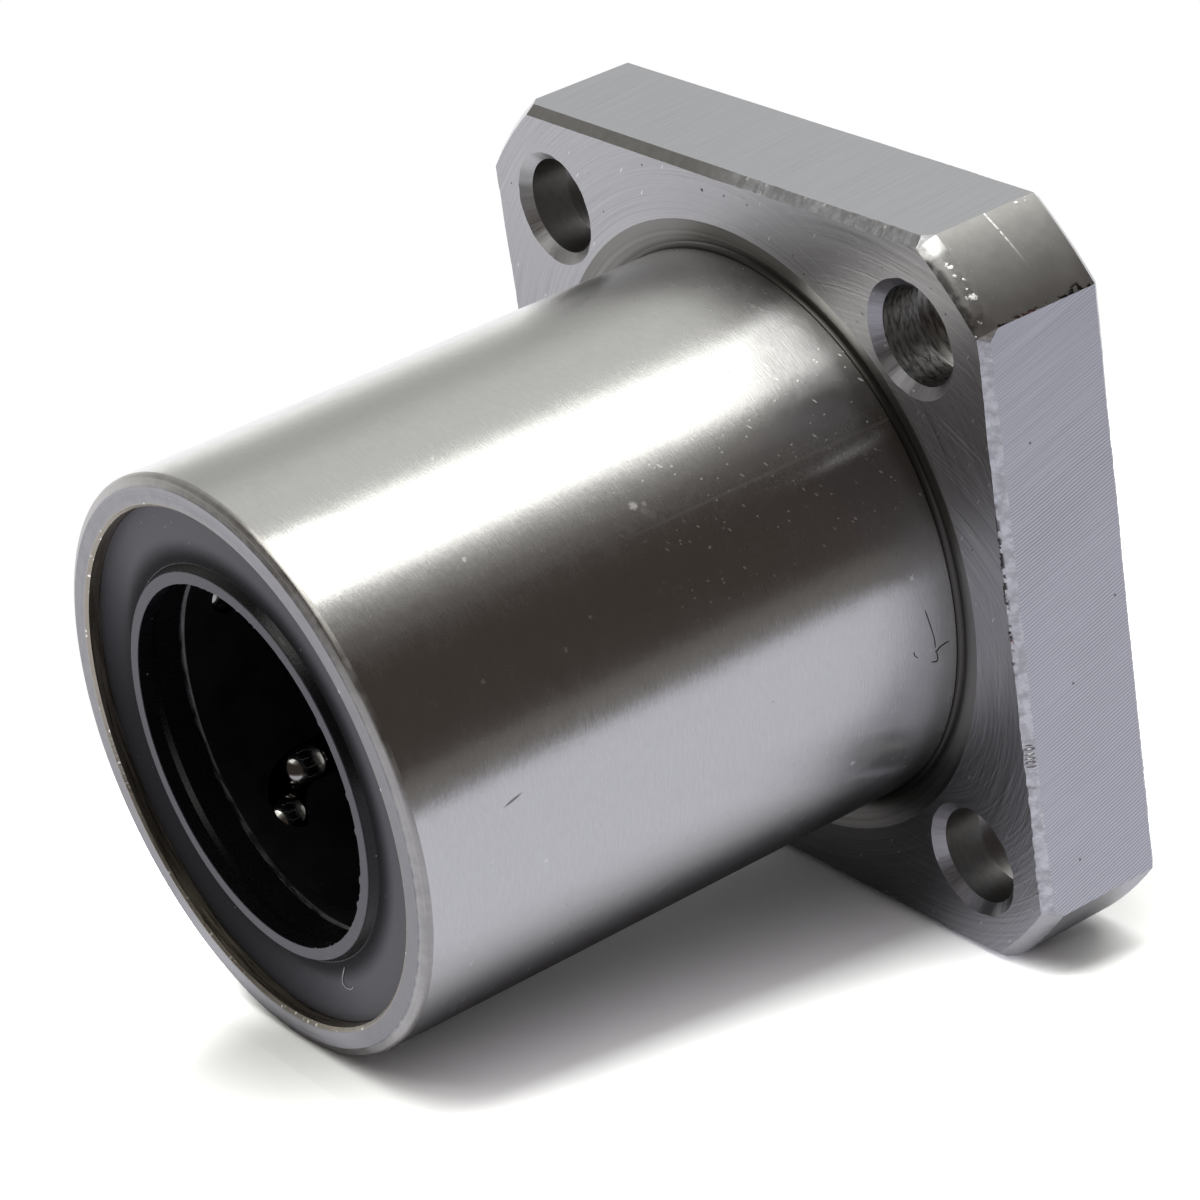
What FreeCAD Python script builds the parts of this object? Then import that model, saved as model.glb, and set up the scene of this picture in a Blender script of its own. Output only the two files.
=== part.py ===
"""Square flange linear ball bearing for a 20 mm shaft.

The bearing axis is the Y axis. The mounting face of the flange lies at y = 0, the nose of the sleeve points to -Y
and the flange reaches back to +Y. Lengths are in millimetres and angles in degrees.

The bearing is sized from the shaft outwards: balls on the shaft, raceway on the balls, sleeve wall on the raceway,
bolts beside the sleeve and flange around the bolts. Along the axis everything is laid out from the middle plane of
the sleeve towards both ends.
"""
import FreeCAD
import Part
import Sketcher

import os

# Driving dimensions
SIZES = {
    "shaft_diameter": 20.0,
    "overall_length": 42.0,
    "flange_thickness": 8.0,
    # Balls and their closed tracks
    "circuit_count": 5,
    "first_row_angle": -143.2,
    "ball_diameter": 3.175,
    "ball_gap": 0.051,
    "shaft_clearance": 0.01,
    "race_clearance": 0.05,
    "track_clearance": 0.07,
    "groove_clearance": 0.1,
    "race_setback": 0.3,
    "race_lead_in": 1.0,
    # Sleeve
    "seat_clearance": 0.25,
    "sleeve_wall": 1.7,
    "nose_bevel_width": 0.6,
    "nose_bevel_depth": 0.3,
    "nose_round": 0.35,
    "rim_bevel": 0.15,
    "root_groove_land": 0.45,
    "root_groove_depth": 0.55,
    "root_fillet": 0.3,
    # Flange and its bolts
    "bolt_hole": 5.5,
    "counterbore": 9.0,
    "counterbore_floor": 2.9,
    "hole_bevel": 0.55,
    "body_side_wall": 1.0,
    "corner_wall": 1.0,
    "flat_wall": 1.297,
    "corner_bevel_depth": 1.05,
    "corner_bevel_width": 0.65,
    "back_bevel": 0.5,
    "edge_bevel": 0.5,
    # Cage
    "cage_shaft_gap": 0.4,
    "cage_race_gap": 0.2,
    "cage_end_gap": 0.05,
    "cage_end_wall": 1.2,
    "cage_bevel": 0.3,
    # End rings
    "ring_thickness": 1.1,
    "ring_side_gap": 0.05,
    "ring_groove_depth": 0.65,
    "ring_groove_gap": 0.05,
    "ring_overlap": 0.535,
    "ring_split_angle": 14.0,
    # Seals
    "seal_recess": 0.85,
    "seal_plate": 1.25,
    "seal_seat_gap": 0.02,
    "seal_boss_gap": 0.2,
    "lip_clearance": 0.02,
    "lip_height": 0.45,
    "lip_face": 0.63,
    "lip_flare": 0.3,
    "lip_land": 0.8,
    "lip_relief": 0.33,
    "lip_relief_slope": 0.5,
}

# Sizes that follow from the driving dimensions
LAYOUT = {
    "half_length": "Sizes.overall_length / 2",
    "middle": "Sizes.flange_thickness - half_length",
    "shaft_radius": "Sizes.shaft_diameter / 2",
    "ball_radius": "Sizes.ball_diameter / 2",
    # A track is a flat loop of two straight rows and two half turns, each turn two ball pitches long
    "turn_radius": "(Sizes.ball_diameter + Sizes.ball_gap) / sqrt(2)",
    "ball_pitch": "pi / 2 * turn_radius",
    "row_height": "shaft_radius + Sizes.shaft_clearance + ball_radius",
    "return_offset": "-2 * turn_radius",
    "return_radius": "sqrt(row_height ^ 2 + return_offset ^ 2)",
    "return_x": "row_height * cos(Sizes.first_row_angle) + return_offset * sin(Sizes.first_row_angle)",
    "return_z": "row_height * sin(Sizes.first_row_angle) - return_offset * cos(Sizes.first_row_angle)",
    "track_radius": "ball_radius + Sizes.track_clearance",
    "groove_radius": "ball_radius + Sizes.groove_clearance",
    # Radii of the sleeve
    "race_radius": "row_height + ball_radius + Sizes.race_clearance",
    "seat_radius": "return_radius + ball_radius + Sizes.seat_clearance",
    "body_radius": "seat_radius + Sizes.sleeve_wall",
    # The flange is sized around its counterbored bolt holes
    "bolt_circle": "2 * (body_radius + Sizes.body_side_wall) + Sizes.counterbore",
    "bolt_offset": "bolt_circle / 2 / sqrt(2)",
    "root_groove": "bolt_circle / 2 - Sizes.bolt_hole / 2 - Sizes.hole_bevel - Sizes.root_groove_land",
    "flange_radius": "bolt_circle / 2 + Sizes.counterbore / 2 + Sizes.corner_wall",
    "flange_half_width": "bolt_offset + Sizes.counterbore / 2 + Sizes.flat_wall",
    # Radii of the cage, rings and seals
    "cage_bore": "shaft_radius + Sizes.cage_shaft_gap",
    "cage_outer": "race_radius - Sizes.cage_race_gap",
    "ring_groove": "seat_radius + Sizes.ring_groove_depth",
    "ring_outer": "ring_groove - Sizes.ring_groove_gap",
    "ring_inner": "cage_outer - Sizes.ring_overlap",
    "seal_outer": "seat_radius - Sizes.seal_seat_gap",
    "seal_boss": "ring_inner - Sizes.seal_boss_gap",
    "lip_bore": "shaft_radius + Sizes.lip_clearance",
    "lip_outer": "lip_bore + Sizes.lip_face",
    "lip_base": "lip_outer + Sizes.lip_flare",
    "seal_bore": "lip_bore + Sizes.lip_relief",
    # Distances from the middle plane to the faces stacked in each end of the sleeve
    "plate_front": "half_length - Sizes.seal_recess",
    "plate_back": "plate_front - Sizes.seal_plate",
    "groove_front": "plate_back + Sizes.ring_side_gap",
    "ring_back": "plate_back - Sizes.ring_thickness",
    "cage_end": "ring_back - Sizes.cage_end_gap",
    "lip_front": "plate_front + Sizes.lip_height",
    "land_back": "lip_front - Sizes.lip_land",
    "relief_front": "land_back - Sizes.lip_relief_slope",
    # Rows hold as many balls as the cage has room for
    "turn_room": "turn_radius + track_radius + Sizes.cage_end_wall",
    "row_balls": "floor(2 * (cage_end - turn_room) / ball_pitch)",
    "row_half": "row_balls * ball_pitch / 2",
    "race_half": "row_half - Sizes.race_setback",
    "lead_in_end": "race_half + Sizes.race_lead_in",
}

BOLT_SIGNS = ((1, 1), (-1, 1), (-1, -1), (1, -1))
FLAT_COUNT = 4
TURN_BALLS = 2
FULL_TURN = 360
OVERCUT = 1.0


def fill_sheet(name, cells):
    """Write each alias and its number or formula to a row of a new sheet."""
    sheet = doc.addObject("Spreadsheet::Sheet", name)
    for row, (alias, content) in enumerate(cells.items(), start=1):
        sheet.set(f"A{row}", alias)
        sheet.set(f"B{row}", str(content))
        sheet.setAlias(f"B{row}", alias)
    doc.recompute()
    return sheet


doc = FreeCAD.newDocument("square_flange_linear_bearing")
sizes = fill_sheet("Sizes", SIZES)
layout = fill_sheet("Layout", {alias: "=" + formula for alias, formula in LAYOUT.items()})
row_balls = int(layout.row_balls)
circuit_count = int(sizes.circuit_count)


# Bodies, sketches and features

def new_body(label):
    body = doc.addObject("PartDesign::Body", label)
    body.Label = label
    return body


def origin_feature(body, role):
    return next(item for item in body.Origin.OriginFeatures if item.Role == role)


def new_sketch(body, name, plane, offset=None):
    """Sketch on an origin plane of its own body, moved along the plane's normal by the formula in offset."""
    sketch = body.newObject("Sketcher::SketchObject", name)
    sketch.AttachmentSupport = [(origin_feature(body, plane), "")]
    sketch.MapMode = "FlatFace"
    if offset:
        sketch.setExpression("AttachmentOffset.Base.z", offset)
    doc.recompute()
    return sketch


def point_at(corner):
    return FreeCAD.Vector(*(layout.evalExpression(formula) for formula in corner))


def tie_along(sketch, kind, curve, end, formula):
    """Tie a curve's point to a formula, its distance from the sketch origin along x or y."""
    index = sketch.addConstraint(Sketcher.Constraint(kind, -1, 1, curve, end, layout.evalExpression(formula)))
    sketch.setExpression(f"Constraints[{index}]", formula)


def tie_point(sketch, curve, end, corner):
    for kind, formula in zip(("DistanceX", "DistanceY"), corner):
        tie_along(sketch, kind, curve, end, formula)


def draw_outline(sketch, corners):
    """Closed outline of straight lines, with every corner tied to the sheets."""
    lines = []
    for corner, following in zip(corners, corners[1:] + corners[:1]):
        line = sketch.addGeometry(Part.LineSegment(point_at(corner), point_at(following)))
        tie_point(sketch, line, 1, corner)
        lines.append(line)
    for line, following in zip(lines, lines[1:] + lines[:1]):
        sketch.addConstraint(Sketcher.Constraint("Coincident", line, 2, following, 1))


def draw_circle(sketch, centre, radius):
    circle = sketch.addGeometry(Part.Circle(point_at(centre), FreeCAD.Vector(0, 0, 1), layout.evalExpression(radius)))
    tie_point(sketch, circle, 3, centre)
    index = sketch.addConstraint(Sketcher.Constraint("Radius", circle, layout.evalExpression(radius)))
    sketch.setExpression(f"Constraints[{index}]", radius)


def draw_loop(sketch, left, right, low, high):
    """Closed loop of two straight sides along y, joined by a half circle at each end."""
    centre_x = f"(({left}) + ({right})) / 2"
    radius = layout.evalExpression(f"(({right}) - ({left})) / 2")
    up = FreeCAD.Vector(0, 0, 1)
    half_turn = layout.evalExpression("pi")
    right_side = sketch.addGeometry(Part.LineSegment(point_at((right, low)), point_at((right, high))))
    top = Part.Circle(point_at((centre_x, high)), up, radius)
    top_turn = sketch.addGeometry(Part.ArcOfCircle(top, 0, half_turn))
    left_side = sketch.addGeometry(Part.LineSegment(point_at((left, high)), point_at((left, low))))
    bottom = Part.Circle(point_at((centre_x, low)), up, radius)
    bottom_turn = sketch.addGeometry(Part.ArcOfCircle(bottom, half_turn, 2 * half_turn))
    pieces = [right_side, top_turn, left_side, bottom_turn]
    for piece, following in zip(pieces, pieces[1:] + pieces[:1]):
        sketch.addConstraint(Sketcher.Constraint("Coincident", piece, 2, following, 1))
    tie_point(sketch, right_side, 1, (right, low))
    tie_point(sketch, right_side, 2, (right, high))
    tie_point(sketch, left_side, 1, (left, high))
    tie_point(sketch, left_side, 2, (left, low))
    tie_along(sketch, "DistanceY", top_turn, 3, high)
    tie_along(sketch, "DistanceY", bottom_turn, 3, low)


def add_feature(body, kind, name, **settings):
    """Add a feature to a body, make it the body's tip and set its properties."""
    feature = body.newObject("PartDesign::" + kind, name)
    body.Tip = feature
    for setting, value in settings.items():
        setattr(feature, setting, value)
    return feature


def revolve(body, name, sketch, angle=str(FULL_TURN)):
    """Turn a section about the bearing axis."""
    feature = add_feature(body, "Revolution", name, Profile=sketch, ReferenceAxis=(sketch, ["V_Axis"]))
    feature.setExpression("Angle", angle)
    doc.recompute()
    return feature


def pattern(body, name, originals, count):
    """Repeat features evenly about the bearing axis."""
    feature = add_feature(body, "PolarPattern", name, Originals=originals, Angle=FULL_TURN, Occurrences=count)
    feature.Axis = (origin_feature(body, "Y_Axis"), [""])
    doc.recompute()
    return feature


def circle_edges(feature, radius, height):
    """Names of a feature's circular edges with this radius, at this height along the bearing axis."""
    names = []
    for number, edge in enumerate(feature.Shape.Edges, start=1):
        if not isinstance(edge.Curve, Part.Circle):
            continue
        offsets = (edge.Curve.Radius - layout.evalExpression(radius), edge.Curve.Center.y - layout.evalExpression(height))
        if max(map(abs, offsets)) < Part.Precision.confusion() * 100:
            names.append(f"Edge{number}")
    return names


def dress_edges(body, kind, name, base, edges, size, formula):
    """Round or bevel edges of the feature that came before."""
    feature = add_feature(body, kind, name, Base=(base, edges))
    feature.setExpression(size, formula)
    doc.recompute()
    return feature


def expect_smaller(feature, base):
    """A cut that points away from the solid removes nothing, so its volume is compared with what it cuts."""
    if not feature.Shape.Volume < base.Shape.Volume:
        raise RuntimeError(f"{feature.Label} cuts nothing")


# Flanged sleeve: one steel piece with a square flange, raceway, return grooves and ring grooves

def sleeve_section(sketch):
    """Half section of the sleeve: outside from nose to flange, then the bore back to the nose.

    A shallow groove is turned into the mounting face, from the body out to a land beside the bolt holes.
    """
    nose = "Layout.middle - Layout.half_length"
    back = "Sizes.flange_thickness"
    outside = [
        ("Layout.body_radius - Sizes.nose_bevel_width", nose),
        ("Layout.body_radius", f"{nose} + Sizes.nose_bevel_depth"),
        ("Layout.body_radius", "Sizes.root_groove_depth"),
        ("Layout.root_groove", "0 * Layout.middle"),
        ("Layout.flange_radius - Sizes.corner_bevel_width", "0 * Layout.middle"),
        ("Layout.flange_radius", "Sizes.corner_bevel_depth"),
        ("Layout.flange_radius", f"{back} - Sizes.back_bevel"),
        ("Layout.flange_radius - Sizes.back_bevel", back),
    ]
    half_bore = [
        ("Layout.seat_radius + Sizes.rim_bevel", "Layout.half_length"),
        ("Layout.seat_radius", "Layout.half_length - Sizes.rim_bevel"),
        ("Layout.seat_radius", "Layout.groove_front"),
        ("Layout.ring_groove", "Layout.groove_front"),
        ("Layout.ring_groove", "Layout.ring_back"),
        ("Layout.seat_radius", "Layout.ring_back"),
        ("Layout.seat_radius", "Layout.lead_in_end"),
        ("Layout.race_radius", "Layout.race_half"),
    ]
    rear_bore = [(radius, f"Layout.middle + ({distance})") for radius, distance in half_bore]
    front_bore = [(radius, f"Layout.middle - ({distance})") for radius, distance in reversed(half_bore)]
    draw_outline(sketch, outside + rear_bore + front_bore)


def mill_flats(body, base):
    """Cut the turned disc to a square and bevel the edges of its four flats."""
    outline = new_sketch(body, "flange_square", "XZ_Plane")
    for reach in ("Layout.flange_half_width", "Layout.flange_radius + 1"):
        draw_outline(outline, [(f"{x} * ({reach})", f"{z} * ({reach})") for x, z in BOLT_SIGNS])
    square = add_feature(body, "Pocket", "mill_square", Profile=outline, SideType="Symmetric", Type="ThroughAll")
    doc.recompute()
    expect_smaller(square, base)

    bevels = new_sketch(body, "flat_edges", "XY_Plane")
    inner = f"Layout.flange_half_width - Sizes.edge_bevel - {OVERCUT}"
    outer = f"Layout.flange_half_width + {OVERCUT}"
    front = [(inner, f"-{OVERCUT}"), (outer, f"-{OVERCUT}"), (outer, f"Sizes.edge_bevel + {OVERCUT}")]
    draw_outline(bevels, front)
    draw_outline(bevels, [(x, f"Sizes.flange_thickness - ({y})") for x, y in front])
    bevel = add_feature(body, "Pocket", "bevel_flat", Profile=bevels, SideType="Symmetric", Type="ThroughAll")
    doc.recompute()
    expect_smaller(bevel, square)
    return pattern(body, "bevel_flats", [bevel], FLAT_COUNT)


def drill_flange(body, base):
    """Four through holes with counterbores in the back face and bevelled mouths in the mounting face."""
    centres = new_sketch(body, "bolt_centres", "XZ_Plane", "-Sizes.flange_thickness")
    for x, z in BOLT_SIGNS:
        draw_circle(centres, (f"{x} * Layout.bolt_offset", f"{z} * Layout.bolt_offset"), "Sizes.bolt_hole / 2")
    holes = add_feature(body, "Hole", "bolt_holes", Profile=centres, Reversed=True, DepthType="ThroughAll")
    holes.HoleCutType = "Counterbore"
    holes.HoleCutCustomValues = True
    holes.setExpression("Diameter", "Sizes.bolt_hole")
    holes.setExpression("HoleCutDiameter", "Sizes.counterbore")
    holes.setExpression("HoleCutDepth", "Sizes.flange_thickness - Sizes.counterbore_floor")
    doc.recompute()
    expect_smaller(holes, base)
    mouths = circle_edges(holes, "Sizes.bolt_hole / 2", "0 * Layout.middle")
    return dress_edges(body, "Chamfer", "hole_mouths", holes, mouths, "Size", "Sizes.hole_bevel")


def cut_return_grooves(body, base):
    """Axial grooves through the raceway, in which unloaded balls travel back."""
    section = new_sketch(body, "return_section", "XZ_Plane", "-Layout.middle")
    draw_circle(section, ("Layout.return_x", "Layout.return_z"), "Layout.groove_radius")
    groove = add_feature(body, "Pocket", "return_groove", Profile=section, SideType="Symmetric")
    groove.setExpression("Length", "2 * Layout.lead_in_end")
    doc.recompute()
    expect_smaller(groove, base)
    pattern(body, "return_grooves", [groove], circuit_count)


def make_sleeve():
    body = new_body("flanged_sleeve")
    section = new_sketch(body, "sleeve_section", "XY_Plane")
    sleeve_section(section)
    blank = revolve(body, "turned_blank", section)
    bevel_end = "Layout.middle - Layout.half_length + Sizes.nose_bevel_depth"
    nose_edge = circle_edges(blank, "Layout.body_radius", bevel_end)
    rounded = dress_edges(body, "Fillet", "nose_round", blank, nose_edge, "Radius", "Sizes.nose_round")
    root_edge = circle_edges(rounded, "Layout.body_radius", "Sizes.root_groove_depth")
    filleted = dress_edges(body, "Fillet", "root_fillet", rounded, root_edge, "Radius", "Sizes.root_fillet")
    milled = mill_flats(body, filleted)
    drilled = drill_flange(body, milled)
    cut_return_grooves(body, drilled)
    return body


# Ball cage: resin tube with a track for each circuit, open to the shaft along the loaded row

def clock_piece(piece, circuit=0):
    """Turn a piece modelled with its loaded row on top to where that circuit lies."""
    piece.Placement = FreeCAD.Placement(FreeCAD.Vector(), FreeCAD.Rotation(FreeCAD.Vector(0, 1, 0), 90))
    angle = f"90 - Sizes.first_row_angle + {circuit} * {FULL_TURN} / Sizes.circuit_count"
    piece.setExpression("Placement.Rotation.Angle", angle)


def make_cage():
    body = new_body("ball_retainer")
    section = new_sketch(body, "cage_section", "XY_Plane")
    corners = []
    for end in ("-", "+"):
        tip = [
            ("Layout.cage_bore", f"Layout.middle {end} (Layout.cage_end - Sizes.cage_bevel)"),
            ("Layout.cage_bore + Sizes.cage_bevel", f"Layout.middle {end} Layout.cage_end"),
            ("Layout.cage_outer - Sizes.cage_bevel", f"Layout.middle {end} Layout.cage_end"),
            ("Layout.cage_outer", f"Layout.middle {end} (Layout.cage_end - Sizes.cage_bevel)"),
        ]
        corners += tip if end == "-" else tip[::-1]
    draw_outline(section, corners)
    tube = revolve(body, "cage_tube", section)

    low, high = "Layout.middle - Layout.row_half", "Layout.middle + Layout.row_half"
    walls = new_sketch(body, "track_walls", "XY_Plane", "Layout.row_height")
    draw_loop(walls, "Layout.return_offset - Layout.track_radius", "Layout.track_radius", low, high)
    draw_loop(walls, "Layout.return_offset + Layout.track_radius", "-Layout.track_radius", low, high)
    slot = add_feature(body, "Pocket", "track_slot", Profile=walls, Reversed=True)
    slot.setExpression("Length", "Layout.cage_outer")
    doc.recompute()
    expect_smaller(slot, tube)

    path = new_sketch(body, "track_path", "XY_Plane", "Layout.row_height")
    draw_loop(path, "Layout.return_offset", "0 * Layout.middle", low, high)
    tube_section = new_sketch(body, "track_section", "XZ_Plane", "-Layout.middle")
    draw_circle(tube_section, ("0 * Layout.middle", "Layout.row_height"), "Layout.track_radius")
    floor = add_feature(body, "SubtractivePipe", "track_floor", Profile=tube_section, Spine=path)
    doc.recompute()
    expect_smaller(floor, slot)

    pattern(body, "tracks", [slot, floor], circuit_count)
    clock_piece(body)
    return body


# End rings: split steel rings in the grooves of the sleeve, holding the cage in

def make_end_ring(label, end):
    body = new_body(label)
    section = new_sketch(body, label + "_section", "XY_Plane")
    inner_face = f"Layout.middle {end} Layout.ring_back"
    outer_face = f"Layout.middle {end} Layout.plate_back"
    corners = [
        ("Layout.ring_inner", inner_face),
        ("Layout.ring_outer", inner_face),
        ("Layout.ring_outer", outer_face),
        ("Layout.ring_inner", outer_face),
    ]
    draw_outline(section, corners)
    revolve(body, label + "_turn", section, f"{FULL_TURN} - Sizes.ring_split_angle")
    return body


# Seals: rubber discs against the end rings, with a raised lip that wipes the shaft

def make_seal(label, end):
    body = new_body(label)
    section = new_sketch(body, label + "_section", "XY_Plane")
    outline = [
        ("Layout.lip_bore", "Layout.lip_front"),
        ("Layout.lip_outer", "Layout.lip_front"),
        ("Layout.lip_base", "Layout.plate_front"),
        ("Layout.seal_outer", "Layout.plate_front"),
        ("Layout.seal_outer", "Layout.plate_back"),
        ("Layout.seal_boss", "Layout.plate_back"),
        ("Layout.seal_boss", "Layout.ring_back"),
        ("Layout.seal_bore", "Layout.ring_back"),
        ("Layout.seal_bore", "Layout.relief_front"),
        ("Layout.lip_bore", "Layout.land_back"),
    ]
    draw_outline(section, [(radius, f"Layout.middle {end} {distance}") for radius, distance in outline])
    revolve(body, label + "_turn", section)
    return body


# Balls: each circuit is a closed train, split where straight rows meet half turns

def make_ball(name, x, y):
    """One ball of the train with its loaded row on top."""
    ball = doc.addObject("Part::Sphere", name)
    ball.setExpression("Radius", "Layout.ball_radius")
    ball.setExpression("Placement.Base.x", x)
    ball.setExpression("Placement.Base.y", y)
    ball.setExpression("Placement.Base.z", "Layout.row_height")
    return ball


def make_train():
    """Balls one pitch apart along the loop: down the loaded row, round the nose, back, and round the rear."""
    rows = range(row_balls)
    turns = [number * 90 for number in range(TURN_BALLS)]
    near, far = "Layout.middle - Layout.row_half", "Layout.middle + Layout.row_half"
    centre = "Layout.return_offset / 2"
    load = [("0 * Layout.middle", f"{far} - {number} * Layout.ball_pitch") for number in rows]
    back = [("Layout.return_offset", f"{near} + {number} * Layout.ball_pitch") for number in rows]
    nose_turn, rear_turn = [], []
    for angle in turns:
        sideways = f"Layout.turn_radius * cos({angle})"
        onwards = f"Layout.turn_radius * sin({angle})"
        nose_turn.append((f"{centre} + {sideways}", f"{near} - {onwards}"))
        rear_turn.append((f"{centre} - {sideways}", f"{far} + {onwards}"))
    places = {
        "load_balls": load,
        "nose_turn_balls": nose_turn,
        "return_balls": back,
        "rear_turn_balls": rear_turn,
    }
    return {
        group: [make_ball(f"{group}_ball_{number}", x, y) for number, (x, y) in enumerate(spots, start=1)]
        for group, spots in places.items()
    }


def make_ball_groups():
    train = make_train()
    groups = []
    for circuit in range(circuit_count):
        for name, balls in train.items():
            label = f"{name}_{circuit + 1}"
            group = doc.addObject("Part::Compound", label)
            group.Label = label
            group.Links = balls
            clock_piece(group, circuit)
            groups.append(group)
    doc.recompute()
    return groups


pieces = [make_sleeve(), make_cage()]
for place, direction in (("front", "-"), ("rear", "+")):
    pieces.append(make_end_ring(place + "_end_ring", direction))
    pieces.append(make_seal(place + "_seal", direction))
pieces += make_ball_groups()
doc.recompute()

# Nothing is written unless every object is sound
for item in doc.Objects:
    if "Invalid" in item.State or "Error" in item.State:
        raise RuntimeError(f"{item.Label} failed: {item.State}")
for piece in pieces:
    if piece.Shape.isNull() or not piece.Shape.isValid():
        raise RuntimeError(f"{piece.Label} has no valid shape")

os.makedirs("parts", exist_ok=True)
for piece in pieces:
    piece.Shape.exportStep(f"parts/{piece.Label}.step")
    print(f"{piece.Label}: {len(piece.Shape.Solids)} solids, {piece.Shape.Volume:.2f} mm3")
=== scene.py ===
"""Looks of a square flange linear bearing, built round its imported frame.

The bearing axis is Y, the nose of the sleeve points to -Y and the flange's mounting face lies at y = 0.
Lengths are in millimetres, and meshes become metres when they are made. The steel sleeve is worked out
afresh, as grids of points on the solid's own surfaces, so that its hand-filed edges can wander. Cage, rings,
seals and balls keep their solids and get a finish.
"""
import math

import bmesh
import bpy
import numpy as np
from mathutils import Matrix, Vector


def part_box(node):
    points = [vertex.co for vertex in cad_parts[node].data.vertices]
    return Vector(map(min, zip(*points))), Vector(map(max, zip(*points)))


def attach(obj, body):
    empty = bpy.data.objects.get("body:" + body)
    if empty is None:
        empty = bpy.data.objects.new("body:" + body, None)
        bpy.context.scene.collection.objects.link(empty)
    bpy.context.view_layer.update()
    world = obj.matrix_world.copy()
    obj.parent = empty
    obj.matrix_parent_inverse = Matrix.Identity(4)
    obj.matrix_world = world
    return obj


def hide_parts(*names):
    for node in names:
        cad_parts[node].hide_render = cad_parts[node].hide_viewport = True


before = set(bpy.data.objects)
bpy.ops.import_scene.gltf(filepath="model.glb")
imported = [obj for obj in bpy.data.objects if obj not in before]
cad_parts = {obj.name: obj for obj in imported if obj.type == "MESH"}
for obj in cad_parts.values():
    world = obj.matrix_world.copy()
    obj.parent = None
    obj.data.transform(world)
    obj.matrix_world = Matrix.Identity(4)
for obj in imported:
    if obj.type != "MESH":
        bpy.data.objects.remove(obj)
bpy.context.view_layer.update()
MM = 0.001
TINY = 0.001

# Sizes of the sleeve, from the frame where it states them
SLEEVE_LOW, SLEEVE_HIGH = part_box("flanged_sleeve")
NOSE = SLEEVE_LOW.y / MM
BACK = SLEEVE_HIGH.y / MM
MIDDLE = (NOSE + BACK) / 2
HALF_LENGTH = (BACK - NOSE) / 2
HALF_WIDTH = round(SLEEVE_HIGH.x / MM, 2)
BODY_RADIUS = 16.0
SEAT_RADIUS = 14.3
RIM_BEVEL = 0.15
NOSE_BEVEL_WIDTH = 0.6
NOSE_BEVEL_DEPTH = 0.3
NOSE_ROUND = 0.35
ROOT_GROOVE_RADIUS = 17.75
ROOT_GROOVE_DEPTH = 0.55
ROOT_FILLET = 0.3

# Bore: distances along the axis are from the middle of the sleeve
RING_GROOVE_RADIUS = 14.95
RING_GROOVE_SIDES = (17.8, 18.95)
RACE_RADIUS = 13.235
RACE_HALF = 12.241
LEAD_IN_END = 13.241
CIRCUITS = 5
RETURN_GROOVE_RADIUS = 1.6875
RETURN_GROOVE_REACH = 12.4626
RETURN_GROOVE_ANGLE = math.radians(-121.73)

# Flange and its bolt holes
CORNER_RADIUS = 27.0
EDGE_BEVEL = 0.5
CORNER_BEVEL_WIDTH = 0.65
CORNER_BEVEL_DEPTH = 1.05
CORNER_BULGE = 0.1
CORNER_TOUCH = 0.002
BOLT_OFFSET = 43.0 / 2 / math.sqrt(2)
HOLE_RADIUS = 2.75
HOLE_BEVEL = 0.55
COUNTERBORE_RADIUS = 4.5
COUNTERBORE_FLOOR = 2.9
COUNTERBORE_BEVEL = 0.05

# Hand filing: its waves, where it starts, and the even line inside it as a share of the bevels' own
SLOW_WAVE = 5.2
TORN_WAVE = 4.0
DENT_WAVE = 0.55
DENT_DEPTH = 0.012
FRET_WAVE = 0.16
FRET_DEPTH = 0.03
FILED_PAST_CORNER = 0.35
FILED_FULLY_OVER = 0.6
TOP_FILED_FROM = -3.0
TOP_FILED_OVER = 8.0
TOP_LEAST = 0.15
BACK_SHARE = 0.6
EVEN_LINE = 0.985
FRONT_SEED, BACK_SEED = 11, 31
FRONT_DENT_SEED, BACK_DENT_SEED = 50, 70
FRET_SEED = 90

# Numbers of grid steps
ARC_STEPS = 90
SEAM_STEPS = 4
FLAT_STEPS = 200
CORNER_STEPS = 40
QUARTER_STEPS = 2 * FLAT_STEPS + CORNER_STEPS
ROUND_STEPS = 6
RIM_STEPS = 4
BODY_STEPS = 8
BEVEL_STEPS = 5
SIDE_STEPS = 6
FACE_STEPS = 5
MERGE_DISTANCE = 0.0005 * MM
LEAST_EDGE = 0.0002 * MM


# Meshes from grids of points

def grid_quads(rows, columns):
    """Corner numbers of the quads of a grid whose points are counted row by row."""
    first = np.arange(rows - 1)[:, None] * columns + np.arange(columns - 1)[None, :]
    return np.stack([first, first + 1, first + columns + 1, first + columns], axis=-1).reshape(-1, 4)


def ring(radius, angles):
    """Points (x, z) about the axis, at one radius or at one for each angle."""
    return np.stack([radius * np.cos(angles), radius * np.sin(angles)], axis=-1)


def turned(radius, height, angles):
    """Surface of revolution about Y: each row's radius, one or one for each angle, at the row's height."""
    shape = (len(height), len(angles))
    radius = np.broadcast_to(np.reshape(radius, (len(height), -1)), shape)
    return stand(ring(radius, angles), np.reshape(height, (-1, 1)))


def stand(flat, height):
    """Points (x, z) at a height along the axis."""
    return np.stack([flat[..., 0], np.broadcast_to(height, flat.shape[:-1]), flat[..., 1]], axis=-1)


def between(first, last, steps):
    """Evenly spaced points of a straight stretch of a section, both ends included."""
    share = np.linspace(0, 1, steps + 1)[:, None]
    return np.array(first) * (1 - share) + np.array(last) * share


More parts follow.
